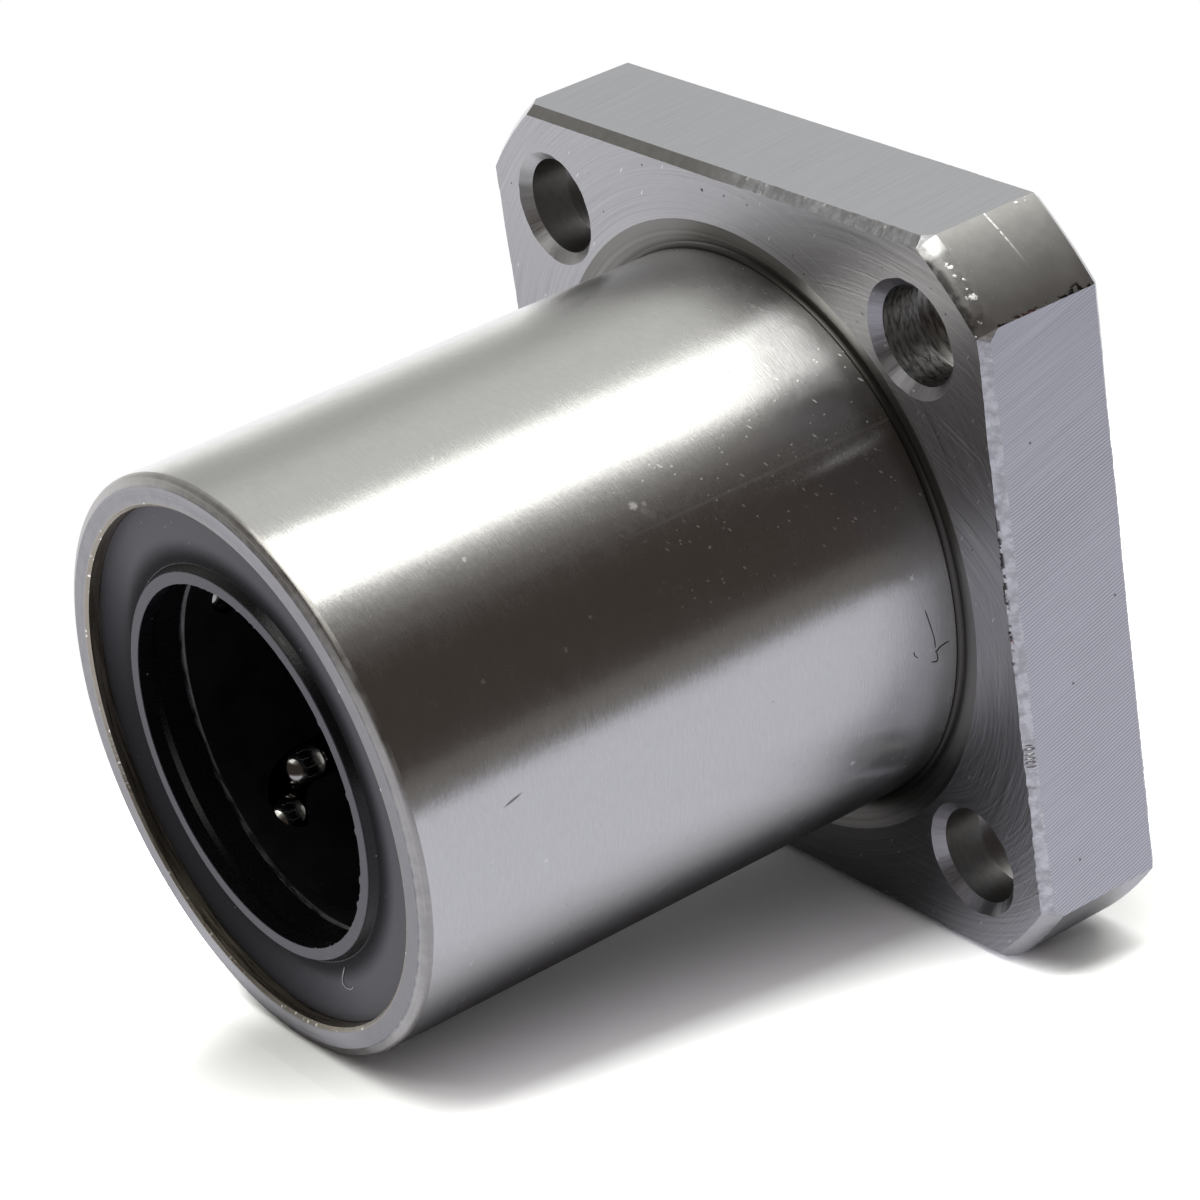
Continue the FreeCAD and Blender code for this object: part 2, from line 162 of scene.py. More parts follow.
def rounded(before, corner, after, radius):
    """Points of the arc that rounds a corner of a section and touches both its legs."""
    legs = [np.array(point) - np.array(corner) for point in (before, after)]
    legs = [leg / np.linalg.norm(leg) for leg in legs]
    half = math.acos(legs[0] @ legs[1]) / 2
    halving = (legs[0] + legs[1]) / np.linalg.norm(legs[0] + legs[1])
    centre = np.array(corner) + halving * radius / math.sin(half)
    first, last = [leg * radius / math.tan(half) - halving * radius / math.sin(half) for leg in legs]
    turn = math.pi - 2 * half
    share = np.linspace(0, 1, ROUND_STEPS + 1)[:, None]
    return centre + (np.sin((1 - share) * turn) * first + np.sin(share * turn) * last) / math.sin(turn)


def add_object(name, data):
    item = bpy.data.objects.new(name, data)
    bpy.context.scene.collection.objects.link(item)
    return item


def piece_from_grids(name, grids, materials, sharp_angle):
    """One closed mesh from grids of points that share their edges, each with the number of its material."""
    points, quads, finishes = [], [], []
    count = 0
    for grid, finish in grids:
        rows, columns = grid.shape[:2]
        points.append(grid.reshape(-1, 3) * MM)
        quads.append(grid_quads(rows, columns) + count)
        finishes.append(np.broadcast_to(np.asarray(finish), (rows - 1, columns - 1)).reshape(-1))
        count += rows * columns
    mesh = bpy.data.meshes.new(name)
    mesh.from_pydata(np.concatenate(points).tolist(), [], np.concatenate(quads).tolist())
    mesh.polygons.foreach_set("material_index", np.concatenate(finishes).astype(np.int32))
    seal_mesh(mesh)
    mesh.set_sharp_from_angle(angle=math.radians(sharp_angle))
    for material in materials:
        mesh.materials.append(material)
    return add_object(name, mesh)


def seal_mesh(mesh):
    """Merge points that coincide, drop faces without area and turn every face outwards."""
    work = bmesh.new()
    work.from_mesh(mesh)
    bmesh.ops.remove_doubles(work, verts=work.verts, dist=MERGE_DISTANCE)
    bmesh.ops.dissolve_degenerate(work, edges=work.edges, dist=LEAST_EDGE)
    bmesh.ops.recalc_face_normals(work, faces=work.faces)
    for face in work.faces:
        face.smooth = True
    work.to_mesh(mesh)
    work.free()


# Flanged sleeve

GROUND, RIM, GROOVE, TURNED, MILLED, CORNER, CHIPPED, FILED, MOUTH, DRILLED, BORED = range(11)
CORNER_HEIGHT = math.sqrt(CORNER_RADIUS ** 2 - HALF_WIDTH ** 2)
CORNER_ANGLE = math.atan2(CORNER_HEIGHT, HALF_WIDTH)
QUARTER = math.pi / 2


def smooth(share):
    """Smooth step for a share from 0 to 1."""
    return share * share * (3 - 2 * share)


def wander(place, length, spacing, seed):
    """Smooth random wave round a closed line: seeded values at even knots, joined by smooth steps."""
    knots = round(length / spacing)
    values = np.random.default_rng(seed).uniform(-1, 1, knots)
    knot = place / length * knots
    low = np.floor(knot).astype(int)
    share = smooth(knot - low)
    return values[low % knots] * (1 - share) + values[(low + 1) % knots] * share


def quarter_outline():
    """A quarter of the flange's side outline: half a flat, a turned corner, half a flat."""
    along = np.linspace(0, CORNER_HEIGHT, FLAT_STEPS + 1)
    flat = np.stack([np.full_like(along, HALF_WIDTH), along], axis=-1)
    corner = ring(CORNER_RADIUS, np.linspace(CORNER_ANGLE, QUARTER - CORNER_ANGLE, CORNER_STEPS + 1))
    return np.concatenate([flat, corner[1:-1], flat[::-1, ::-1]])


def quarter_inset(edge_width, cone_width, cone_depth):
    """The same quarter where the bevels meet a face, with the depth at which each bevel meets the side.

    A flat's bevel is a plane that takes edge_width off both faces. The turned corner's bevel is a cone, which
    also cuts the end of the flat in a curve: there its depth follows the flat's distance from the axis.
    """
    inner = CORNER_RADIUS - cone_width
    corner = math.acos((HALF_WIDTH - edge_width) / inner)
    turn_radius = min(inner + edge_width * cone_width / cone_depth, CORNER_RADIUS)
    turn = math.sqrt(turn_radius ** 2 - HALF_WIDTH ** 2)
    along = np.linspace(0, CORNER_HEIGHT, FLAT_STEPS + 1)
    straight = along * inner * math.sin(corner) / turn
    start = max(corner, CORNER_ANGLE)
    share = np.clip((along - turn) / max(CORNER_HEIGHT - turn, TINY), 0, 1)
    edge = np.stack([np.full_like(along, HALF_WIDTH - edge_width), straight], axis=-1)
    cone = ring(inner, corner + share * (start - corner))
    on_cone = along > turn
    flat = np.where(on_cone[:, None], cone, edge)
    reach = np.hypot(HALF_WIDTH, along) - inner
    flat_depth = np.maximum(edge_width, np.where(on_cone, reach * cone_depth / cone_width, 0))
    arc = ring(inner, np.linspace(start, QUARTER - start, CORNER_STEPS + 1))
    points = np.concatenate([flat, arc[1:-1], flat[::-1, ::-1]])
    depth = np.concatenate([flat_depth, np.full(CORNER_STEPS - 1, cone_depth), flat_depth[::-1]])
    return points, depth


def turn_quarter(points, turn):
    """Turn (x, z) points by a number of quarter turns about the axis."""
    c, s = round(math.cos(turn * QUARTER)), round(math.sin(turn * QUARTER))
    x, z = points[..., 0], points[..., 1]
    return np.stack([x * c - z * s, x * s + z * c], axis=-1)


def all_round(quarter):
    """Four turns of a quarter outline, closed on its first point."""
    loop = np.concatenate([turn_quarter(quarter, turn)[:-1] for turn in range(4)])
    return np.concatenate([loop, loop[:1]])


class FlangeOutline:
    """The flange's outline at its side, mounting face and back face, with edges that wander as filed by hand.

    On each face an even line runs a little inside the filed edge.
    """

    def __init__(self):
        self.side = all_round(quarter_outline())
        steps = np.hypot(*np.diff(self.side, axis=0).T)
        self.place = np.concatenate([[0], np.cumsum(steps)])
        self.length = self.place[-1]
        inset = CORNER_RADIUS - np.hypot(*self.side.T)
        self.on_corner = inset < CORNER_TOUCH
        self.rough = self.roughness(np.clip((inset - FILED_PAST_CORNER) / FILED_FULLY_OVER, 0, 1))
        front, front_depth = quarter_inset(EDGE_BEVEL, CORNER_BEVEL_WIDTH, CORNER_BEVEL_DEPTH)
        back, back_depth = quarter_inset(EDGE_BEVEL, EDGE_BEVEL, EDGE_BEVEL)
        self.front_line = EVEN_LINE * all_round(front)
        self.back_line = EVEN_LINE * all_round(back)
        self.front, self.front_depth = self.filed(front, front_depth, self.rough, FRONT_SEED)
        self.back, self.back_depth = self.filed(back, back_depth, BACK_SHARE * self.rough, BACK_SEED)

    def roughness(self, flatness):
        """How unevenly each edge was filed: the top mostly from its middle on, the corners not at all."""
        x, z = self.side.T
        late = smooth(np.clip((x - TOP_FILED_FROM) / TOP_FILED_OVER, 0, 1))
        amount = np.where(z > HALF_WIDTH - 0.1, TOP_LEAST + (1 - TOP_LEAST) * late, 1.0)
        return amount * flatness

    def corner_bulge(self):
        """How far the corners' front bevel swells outwards, fading to nothing at both ends of each corner."""
        angle = np.arctan2(self.side[:, 1], self.side[:, 0]) % QUARTER
        share = (angle - CORNER_ANGLE) / (QUARTER - 2 * CORNER_ANGLE)
        return CORNER_BULGE * np.clip(6 * np.minimum(share, 1 - share), 0, 1)

    def wave(self, spacing, seed):
        return wander(self.place, self.length, spacing, seed)

    def filed(self, quarter, depth, rough, seed):
        """Scale each bevel's width and depth by slow and quick waves and small teeth along the outline."""
        slow = self.wave(SLOW_WAVE, seed)
        torn = np.clip(self.wave(TORN_WAVE, seed + 5) + 0.35, 0, 1)

        def scale(number, middling, teeth, slow_part, middling_part, torn_part):
            uneven = slow_part * slow + middling_part * self.wave(middling, seed + number)
            bite = 0.02 + torn_part * torn
            return 1 + rough * (uneven + bite * self.wave(teeth, seed + number + 1))

        width = scale(1, 1.3, 0.27, 0.1, 0.05, 0.1)
        drop = scale(3, 1.7, 0.25, 0.08, 0.04, 0.06)
        inset = self.side + (all_round(quarter) - self.side) * width[:, None]
        return inset, np.append(np.tile(depth[:-1], 4), depth[0]) * drop


def rim_grid(outline):
    """Side of the flange: two bevels and a flat, from even line to even line, carried round it."""
    shares = np.linspace(0, 1, BEVEL_STEPS + 1)
    swell = outline.corner_bulge()
    outward = outline.side / np.linalg.norm(outline.side, axis=1, keepdims=True)
    slant = math.atan2(CORNER_BEVEL_DEPTH, CORNER_BEVEL_WIDTH)
    top = outline.front_depth
    bottom = BACK - outline.back_depth

    def dents(seed, hump):
        return DENT_DEPTH * hump * outline.rough * outline.wave(DENT_WAVE, seed)

    rows = [(outline.front_line, 0.0)]
    for number, share in enumerate(shares):
        hump = 4 * share * (1 - share)
        flat = outline.front + (outline.side - outline.front) * share
        flat = flat + outward * (math.sin(slant) * hump * swell)[:, None]
        height = top * share + dents(FRONT_DENT_SEED + number, hump)
        rows.append((flat, height - math.cos(slant) * hump * swell))
    for share in np.linspace(0, 1, SIDE_STEPS + 1)[1:-1]:
        rows.append((outline.side, top + (bottom - top) * share))
    for number, share in enumerate(shares):
        hump = 4 * share * (1 - share)
        flat = outline.side + (outline.back - outline.side) * share
        rows.append((flat, bottom + outline.back_depth * share + dents(BACK_DENT_SEED + number, hump)))
    rows.append((outline.back_line, BACK))
    corner = outline.on_corner[:-1] & outline.on_corner[1:]
    finish = np.where(corner, CORNER, MILLED)[None, :].repeat(len(rows) - 1, axis=0)
    finish[1:1 + BEVEL_STEPS] = np.where(corner, CHIPPED, FILED)
    finish[-1 - BEVEL_STEPS:-1] = np.where(corner, CORNER, FILED)
    finish[[0, -1]] = TURNED
    return np.stack([stand(flat, height) for flat, height in rows]), finish


def quarter_loop(outer, inner_radius):
    """Closed loop round a quarter of a flange face: outline, seam, circle about the axis, seam."""
    circle = ring(inner_radius, np.linspace(QUARTER, 0, ARC_STEPS + 1))
    share = np.linspace(0, 1, SEAM_STEPS + 1)[1:-1, None]
    down = outer[-1] + (circle[0] - outer[-1]) * share
    out = circle[-1] + (outer[0] - circle[-1]) * share
    return np.concatenate([outer, down, circle, out, outer[:1]])


def bolt_angles(loop):
    """Directions round a bolt hole, one for each point of the loop about it, so that no two lines cross."""
    seen = np.unwrap(np.arctan2(*(loop - BOLT_OFFSET).T[::-1]))
    start = QUARTER_STEPS + SEAM_STEPS
    end = start + ARC_STEPS
    seen[start:end + 1] = np.linspace(seen[start], seen[end], ARC_STEPS + 1)
    return seen


def polar(points):
    return np.hypot(points[:, 0], points[:, 1]), np.arctan2(points[:, 1], points[:, 0])


def flange_face(outer, inner_radius, mouth, angles):
    """A quarter of a flange face, blended in polar terms from its bolt hole's mouth to the loop round it."""
    hole_radius, hole_angle = polar(BOLT_OFFSET + ring(mouth, angles))
    loop_radius, loop_angle = polar(quarter_loop(outer, inner_radius))
    share = np.linspace(0, 1, FACE_STEPS + 1)[:, None]
    radius = hole_radius + (loop_radius - hole_radius) * share
    return ring(radius, hole_angle + (loop_angle - hole_angle) * share)


def bolt_hole(mouth, wide, angles, turn):
    """Counterbored hole, turned about its own axis: bevelled mouth, wall, floor, counterbore."""
    section = [
        (mouth, 0.0), (HOLE_RADIUS, HOLE_BEVEL), (HOLE_RADIUS, COUNTERBORE_FLOOR),
        (COUNTERBORE_RADIUS, COUNTERBORE_FLOOR), (COUNTERBORE_RADIUS, BACK - COUNTERBORE_BEVEL),
        (wide, BACK),
    ]
    rings = [(turn_quarter(BOLT_OFFSET + ring(radius, angles), turn), height) for radius, height in section]
    finish = np.array([MOUTH, DRILLED, DRILLED, DRILLED, DRILLED])
    return np.stack([stand(flat, height) for flat, height in rings]), finish[:, None]


def outside_grid(angles):
    """Nose rim and its bevel, ground body and the groove at its root, as one section turned about Y."""
    rim_edge = (BODY_RADIUS - NOSE_BEVEL_WIDTH, NOSE)
    nose_corner = (BODY_RADIUS, NOSE + NOSE_BEVEL_DEPTH)
    root_corner = (BODY_RADIUS, ROOT_GROOVE_DEPTH)
    groove_edge = (ROOT_GROOVE_RADIUS, 0.0)
    rim = between((SEAT_RADIUS + RIM_BEVEL, NOSE), rim_edge, RIM_STEPS)
    nose = rounded(rim_edge, nose_corner, root_corner, NOSE_ROUND)
    root = rounded(nose_corner, root_corner, groove_edge, ROOT_FILLET)
    body = between(nose[-1], root[0], BODY_STEPS)
    groove = between(root[-1], groove_edge, RIM_STEPS)
    section = np.concatenate([[(SEAT_RADIUS, NOSE + RIM_BEVEL)], rim, nose, body[1:-1], root, groove[1:]])
    finish = np.full(len(section) - 1, GROUND)
    finish[:len(rim) + len(nose)] = RIM
    finish[-len(root) - len(groove) + 2:] = GROOVE
    return turned(section[:, 0], section[:, 1], angles), finish[:, None]


def bore_grid(angles):
    """Bore from the back to the nose: its section turned about Y, cut deeper where a return groove runs.

    A return groove is part of a cylinder along Y. Seen from the bearing's axis, at an angle from the groove's
    middle, its wall lies at reach * cos(angle) + sqrt(radius^2 - (reach * sin(angle))^2).
    """
    lead_in = between((SEAT_RADIUS, LEAD_IN_END), (RACE_RADIUS, RACE_HALF), RIM_STEPS)
    inner_side, outer_side = RING_GROOVE_SIDES
    half = np.concatenate([[
        (SEAT_RADIUS + RIM_BEVEL, HALF_LENGTH), (SEAT_RADIUS, HALF_LENGTH - RIM_BEVEL),
        (SEAT_RADIUS, outer_side), (RING_GROOVE_RADIUS, outer_side),
        (RING_GROOVE_RADIUS, inner_side), (SEAT_RADIUS, inner_side),
    ], lead_in])
    radius = np.concatenate([half[:, 0], half[:0:-1, 0]])
    height = np.concatenate([MIDDLE + half[:, 1], MIDDLE - half[:0:-1, 1]])
    apart = 2 * math.pi / CIRCUITS
    off = (angles - RETURN_GROOVE_ANGLE + apart / 2) % apart - apart / 2
    room = RETURN_GROOVE_RADIUS ** 2 - (RETURN_GROOVE_REACH * np.sin(off)) ** 2
    groove = np.where(room > 0, RETURN_GROOVE_REACH * np.cos(off) + np.sqrt(np.clip(room, 0, None)), 0)
    cut = np.abs(height - MIDDLE) < LEAD_IN_END + TINY
    reach = np.where(cut[:, None], np.maximum(radius[:, None], groove), radius[:, None])
    return turned(reach, height, angles), BORED


def make_sleeve(materials):
    """The whole sleeve: turned outside, bevelled square flange, four bolt holes and the bore."""
    outline = FlangeOutline()
    round_angles = np.linspace(0, 2 * math.pi, 4 * ARC_STEPS + 1)
    grids = [outside_grid(round_angles), bore_grid(round_angles), rim_grid(outline)]
    for turn in range(4):
        part = slice(turn * QUARTER_STEPS, (turn + 1) * QUARTER_STEPS + 1)
        front = turn_quarter(outline.front_line[part], -turn)
        back = turn_quarter(outline.back_line[part], -turn)
        angles = bolt_angles(quarter_loop(front, ROOT_GROOVE_RADIUS))
        fret = wander(angles - angles[0], 2 * math.pi, FRET_WAVE, FRET_SEED + turn)
        mouth = HOLE_RADIUS + HOLE_BEVEL + FRET_DEPTH * fret
        wide = COUNTERBORE_RADIUS + COUNTERBORE_BEVEL
        front_face = flange_face(front, ROOT_GROOVE_RADIUS, mouth, angles)
        back_face = flange_face(back, SEAT_RADIUS + RIM_BEVEL, wide, angles)
        grids.append((stand(turn_quarter(front_face, turn), 0.0), TURNED))
        grids.append((stand(turn_quarter(back_face, turn), BACK), TURNED))
        grids.append(bolt_hole(mouth, wide, angles, turn))
    sleeve = piece_from_grids("turned_sleeve", grids, materials, sharp_angle=15)
    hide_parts("flanged_sleeve")
    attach(sleeve, "sleeve")


# Finishes

NOISE_MIDDLE = (0.3, 0.7)
RUST = (0.2, 0.06, 0.045)
# Colour of pale dust and marks, and of painted glints
PALE_MARK_AND_GLINT = (0.95, 0.95, 0.93)
FLECK = (0.9, 0.9, 0.88)


class Nodes:
    """Short calls that add nodes to a tree and give back their output."""

    def __init__(self, tree):
        self.tree = tree

    def node(self, kind, values=None, **settings):
        """A new node itself, with values or other nodes' outputs on its sockets."""
        made = self.tree.nodes.new(kind)
        for setting, value in settings.items():
            setattr(made, setting, value)
        for socket, value in (values or {}).items():
            self.feed(made.inputs[socket], value)
        return made

    def feed(self, socket, value):
        if isinstance(value, bpy.types.NodeSocket):
            self.tree.links.new(value, socket)
        else:
            socket.default_value = (*value, 1.0) if socket.type == "RGBA" else value

    def math(self, operation, *values):
        return self.node("ShaderNodeMath", dict(enumerate(values)), operation=operation).outputs[0]

    def fold(self, operation, first, *others):
        for other in others:
            first = self.math(operation, first, other)
        return first

    def times(self, *values):
        return self.fold("MULTIPLY", *values)

    def plus(self, *values):
        return self.fold("ADD", *values)

    def most(self, *values):
        return self.fold("MAXIMUM", *values)

    def minus(self, first, second):
        return self.math("SUBTRACT", first, second)

    def absolute(self, value):
        return self.math("ABSOLUTE", value)

    def joined(self, *parts):
        return self.node("ShaderNodeCombineXYZ", dict(enumerate(parts))).outputs[0]

    def vector(self, operation, *values, output=0):
        return self.node("ShaderNodeVectorMath", dict(enumerate(values)), operation=operation).outputs[output]

    def along(self, vector, direction):
        return self.vector("DOT_PRODUCT", vector, direction, output=1)

    def length(self, vector):
        return self.vector("LENGTH", vector, output=1)

    def ramp(self, value, low, high, start=0.0, end=1.0):
        """Smooth step of a value from start, at low, to end, at high."""
        return self.node("ShaderNodeMapRange", {0: value, 1: low, 2: high, 3: start, 4: end},
                         interpolation_type="SMOOTHSTEP").outputs[0]

    def blend(self, share, first, second):
        """Mix of two colours."""
        return self.node("ShaderNodeMix", {0: share, 6: first, 7: second}, data_type="RGBA").outputs[2]

    def layers(self, colour, *covers):
        """A colour with others laid over it in turn, each by its share."""
        for share, cover in covers:
            colour = self.blend(share, colour, cover)
        return colour


class Finish(Nodes):
    """One material, with the patterns that the finishes share. Their scales count per metre."""

    def __init__(self, name):
        self.material = bpy.data.materials.new(name)
        self.material.use_nodes = True
        super().__init__(self.material.node_tree)
        self.shader = self.tree.nodes["Principled BSDF"]
        self.place = self.node("ShaderNodeTexCoord").outputs["Object"]
        self.at = self.spread(1 / MM, 1 / MM, 1 / MM)
        self.x, self.y, self.z = self.node("ShaderNodeSeparateXYZ", {0: self.at}).outputs

    def set(self, **values):
        """Feed the shader's sockets of these names."""
        for name, value in values.items():
            self.feed(self.shader.inputs[name.replace("_", " ").title().replace("Ior", "IOR")], value)

    def coat(self, colour, roughness, height=None, depth=0.0, strength=0.6):
        """Colour, roughness and, from a height pattern, bumps. Gives back the material."""
        self.set(base_color=colour, roughness=roughness)
        if height is not None:
            values = {"Strength": strength, "Distance": depth * MM, "Height": height}
            self.set(normal=self.node("ShaderNodeBump", values).outputs[0])
        return self.material

    def spread(self, x, y, z, vector=None):
        """Place in metres, stretched along each axis, for patterns long one way and fine another."""
        return self.vector("MULTIPLY", vector or self.place, (x, y, z))

    def moved(self, x, y, z):
        """Place shifted, for a second pattern that doesn't fall where the first one does."""
        return self.vector("ADD", self.place, (x, y, z))

    def from_line(self, x=0.0, z=0.0):
        """Distance from a line along Y."""
        return self.length(self.spread(1, 0, 1, self.vector("SUBTRACT", self.at, (x, 0, z))))

    def along_axis(self):
        return self.joined(0.0, 1.0, 0.0)

    def from_axis(self):
        return self.vector("NORMALIZE", self.spread(1, 0, 1))

    def normal(self):
        return self.node("ShaderNodeNewGeometry").outputs["True Normal"]

    def along_flat(self):
        return self.vector("CROSS_PRODUCT", self.normal(), (0, 1, 0))

    def towards(self, x, z):
        """How much the way out from the axis points along (x, 0, z)."""
        return self.along(self.from_axis(), (x, 0.0, z))

    def lined(self, distance, fine, slow):
        """Vector for noise in lines: quick with a distance across them, slow along them."""
        across = self.joined(self.times(distance, fine * MM))
        return self.vector("ADD", self.spread(slow, slow, slow), across)

    def noise(self, vector, scale=1.0, detail=2.0, rough=0.5):
        values = {"Vector": vector, "Scale": scale, "Detail": detail, "Roughness": rough}
        return self.node("ShaderNodeTexNoise", values).outputs["Fac"]

    def cloud(self, scale, detail=2.0, rough=0.5):
        return self.noise(self.place, scale, detail, rough)

    def patches(self, scale, low, high, detail=2.0, rough=0.5, start=0.0):
        """Patches where a noise is over low, full where it is over high."""
        return self.ramp(self.cloud(scale, detail, rough), low, high, start)

    def swing(self, pattern, start=0.0, end=1.0):
        """Smooth step from start to end over the middle of a noise's range."""
        return self.ramp(pattern, *NOISE_MIDDLE, start, end)

    def tones(self, pattern, dark, pale):
        return self.blend(self.swing(pattern), dark, pale)

    def frayed(self, reach, amount):
        """A distance that goes in and out with a fine noise."""
        if not amount:
            return reach
        return self.plus(reach, self.times(self.minus(self.cloud(7000), 0.5), amount))

    def specks(self, scale, share, size, ragged=0.0, vector=None):
        """Small spots in a random share of the cells of a grid: round, ragged or drawn out."""
        cell = self.node("ShaderNodeTexVoronoi", {"Vector": vector or self.place, "Scale": scale})
        first = self.node("ShaderNodeSeparateColor", {0: cell.outputs["Color"]}).outputs[0]
        near = self.ramp(self.frayed(cell.outputs["Distance"], ragged * size), size, 0.5 * size)
        return self.times(self.math("LESS_THAN", first, share), near)

    def streaks(self, turn, long, fine, share, size):
        """Short straight scratches: specks drawn out along one direction."""
        turned_place = self.node("ShaderNodeMapping", {"Vector": self.place, "Rotation": turn}).outputs[0]
        return self.specks(1.0, share, size, vector=self.spread(long, fine, fine, turned_place))

    def mark(self, place, size, turn=(0.0, 0.0, 0.0), ragged=0.0):
        """One spot: 1 in the middle of a turned ellipsoid of these half sizes, and 0 outside it."""
        values = {"Vector": self.at, "Location": place, "Rotation": turn, "Scale": size}
        own = self.node("ShaderNodeMapping", values, vector_type="TEXTURE").outputs[0]
        return self.ramp(self.frayed(self.length(own), ragged), 1.0, 0.4)


def steel(name, grooves=0.0, across=None):
    """Bare metal. Grooves scatter light along the direction across them."""
    f = Finish(name)
    f.set(metallic=1.0)
    if grooves:
        f.set(anisotropic=grooves, tangent=across(f))
    return f


def on_body(angle, y, lift=0.0):
    """Place on or over the ground body, at an angle in degrees from +X towards +Z."""
    turn = math.radians(angle)
    radius = BODY_RADIUS + lift
    return Vector((radius * math.cos(turn), y, radius * math.sin(turn)))


# Angle, height, half size and strength of each
SMUDGES = (
    (43.7, -15.6, 0.3, 1.0), (43.2, -15.0, 0.2, 0.5), (41.9, -15.2, 0.34, 0.25), (40.6, -14.9, 0.3, 0.2),
    (39.4, -14.5, 0.26, 0.14), (47.5, -25.3, 0.18, 0.6), (28.9, -20.7, 0.12, 0.6),
)
GASH = (5.0, -28.0)
ACROSS_PALE_LINE = (-0.626, 0.0, 0.78)


def ground_body():
    """Cylindrically ground steel: short strokes round the axis, lint, dust and a few scratches."""
    f = steel("ground_body", 0.88, Finish.along_axis)
    strokes = f.noise(f.spread(1500, 9000, 1500), detail=3, rough=0.6)
    cloud = f.cloud(900, 3, 0.6)
    near_flange = f.ramp(f.y, -19, -13)
    lint = f.most(f.streaks((0.2, 0.5, 0.9), 1500, 4400, 0.09, 0.3),
                  f.streaks((0.9, 0.1, 2.3), 1300, 4200, 0.1, 0.28),
                  f.specks(1100, 0.05, 0.12, 2.2))
    lint = f.times(lint, f.ramp(f.towards(0.77, 0.64), 0.93, 0.98), near_flange)
    dust = f.times(f.specks(700, 0.11, 0.11, 2.4), f.patches(90, 0.42, 0.6, 1), 0.5)
    flecks = f.times(f.specks(420, 0.22, 0.065, 2.4), 0.4)
    scratches = f.most(f.streaks((0.2, 0.5, 0.9), 60, 1500, 0.5, 0.05),
                       f.streaks((0.9, 0.1, 0.3), 45, 1300, 0.5, 0.04))
    smudges = [f.times(f.mark(on_body(angle, y), [size] * 3, ragged=1.0), strength)
               for angle, y, size, strength in SMUDGES]
    # A pale line along the body at one angle round it, strongest towards the flange, with pale patches beside
    # it
    aside = f.absolute(f.along(f.at, ACROSS_PALE_LINE))
    pale_line = f.times(f.ramp(aside, 0.12, 0.03), f.ramp(f.y, -19, -12), 0.16)
    pale_patches = f.times(f.ramp(aside, 1.5, 0.2), f.cloud(1300, 4, 0.65), 0.12)
    marks = f.most(dust, flecks, *smudges, lint, f.times(scratches, 0.5), f.plus(pale_patches, pale_line))
    pores = f.times(f.specks(1500, 0.2, 0.07, vector=f.moved(0.1, 0.2, 0.3)), near_flange)
    gash = f.mark(on_body(*GASH), (0.2, 0.75, 0.1), (0.25, 0.0, 0.0))
    metal = f.tones(strokes, (0.515, 0.513, 0.509), (0.547, 0.545, 0.541))
    dark = f.times(f.most(gash, pores), 0.8)
    return f.coat(f.layers(metal, (f.times(marks, 0.8), PALE_MARK_AND_GLINT), (dark, (0.12, 0.11, 0.1))),
                  f.plus(f.times(strokes, 0.06), f.times(cloud, 0.1), 0.17, f.times(marks, 0.4)),
                  f.plus(strokes, f.times(cloud, 0.8)), 0.01)


def turned_rim():
    """Rim of the nose: lines round the axis, a brown bevel, and a torn edge round the seal with painted
    glints. Painted shade darkens the side towards the right, and painted light lifts the bottom.
    """
    f = steel("turned_rim")
    reach = f.from_line()
    mottle = f.cloud(1000, 4, 0.65)
    lines = f.plus(f.noise(f.lined(reach, 11000, 90), detail=3), f.times(mottle, 0.9), -0.45)
    # Painted shade: the side of the rim towards the right is painted darker
    side_share = f.ramp(f.towards(0.94, -0.34), -0.3, 1.0, 0.0, 0.4)
    # Painted light: the bottom of the rim is painted paler
    below = f.ramp(f.towards(-0.1, -0.99), 0.75, 1.0, 0.0, 0.6)
    ragged = f.plus(reach, f.times(f.minus(mottle, 0.5), 0.3))
    bevel = f.ramp(ragged, BODY_RADIUS - NOSE_BEVEL_WIDTH, BODY_RADIUS - 0.8 * NOSE_BEVEL_WIDTH)
    brown = f.tones(lines, (0.33, 0.321, 0.308), (0.43, 0.42, 0.406))
    torn = f.ramp(reach, SEAT_RADIUS + 0.28, SEAT_RADIUS + 0.12)
    # Painted glints: bright specks along the torn edge
    sparks = f.times(torn, f.specks(2400, 0.5, 0.3))
    grain = f.times(f.cloud(5200), f.plus(torn, 0.1), 4)
    metal = f.tones(lines, (0.245, 0.24, 0.254), (0.325, 0.32, 0.335))
    colour = f.layers(metal, (side_share, (0.15, 0.147, 0.155)), (below, (0.52, 0.515, 0.53)), (bevel, brown),
                      (torn, (0.34, 0.31, 0.26)), (sparks, (0.95, 0.93, 0.88)))
    return f.coat(colour, f.swing(lines, 0.3, 0.42), f.plus(lines, grain), 0.012)


def root_groove():
    """Groove round the foot of the body: coarse brown turning lines, with painted shade darkening it next to
    the body.
    """
    f = steel("root_groove", 0.4, Finish.from_axis)
    reach = f.from_line()
    lines = f.noise(f.lined(reach, 5200, 60), detail=3)
    # Painted shade: the groove turns dark where it meets the body
    painted_shade_at_foot = f.ramp(reach, BODY_RADIUS + 0.8, BODY_RADIUS + 0.15, 0.0, 0.85)
    brown = f.tones(lines, (0.18, 0.172, 0.162), (0.265, 0.256, 0.243))
    return f.coat(f.blend(painted_shade_at_foot, brown, (0.05, 0.047, 0.043)), f.swing(lines, 0.28, 0.42), lines, 0.012)


SWIRL_CENTRE = (11.4, -4.1)
TORN_LOW, TORN_HIGH = -2.0, 7.0
# x, z, half length, half width, turn and strength of each
FACE_STREAKS = (
    (18.2, 10.6, 2.6, 0.09, 0.489, 0.5), (18.0, 10.25, 2.2, 0.06, 0.47, 0.35),
    (17.6, 5.8, 2.6, 0.3, 0.705, 0.2),
)
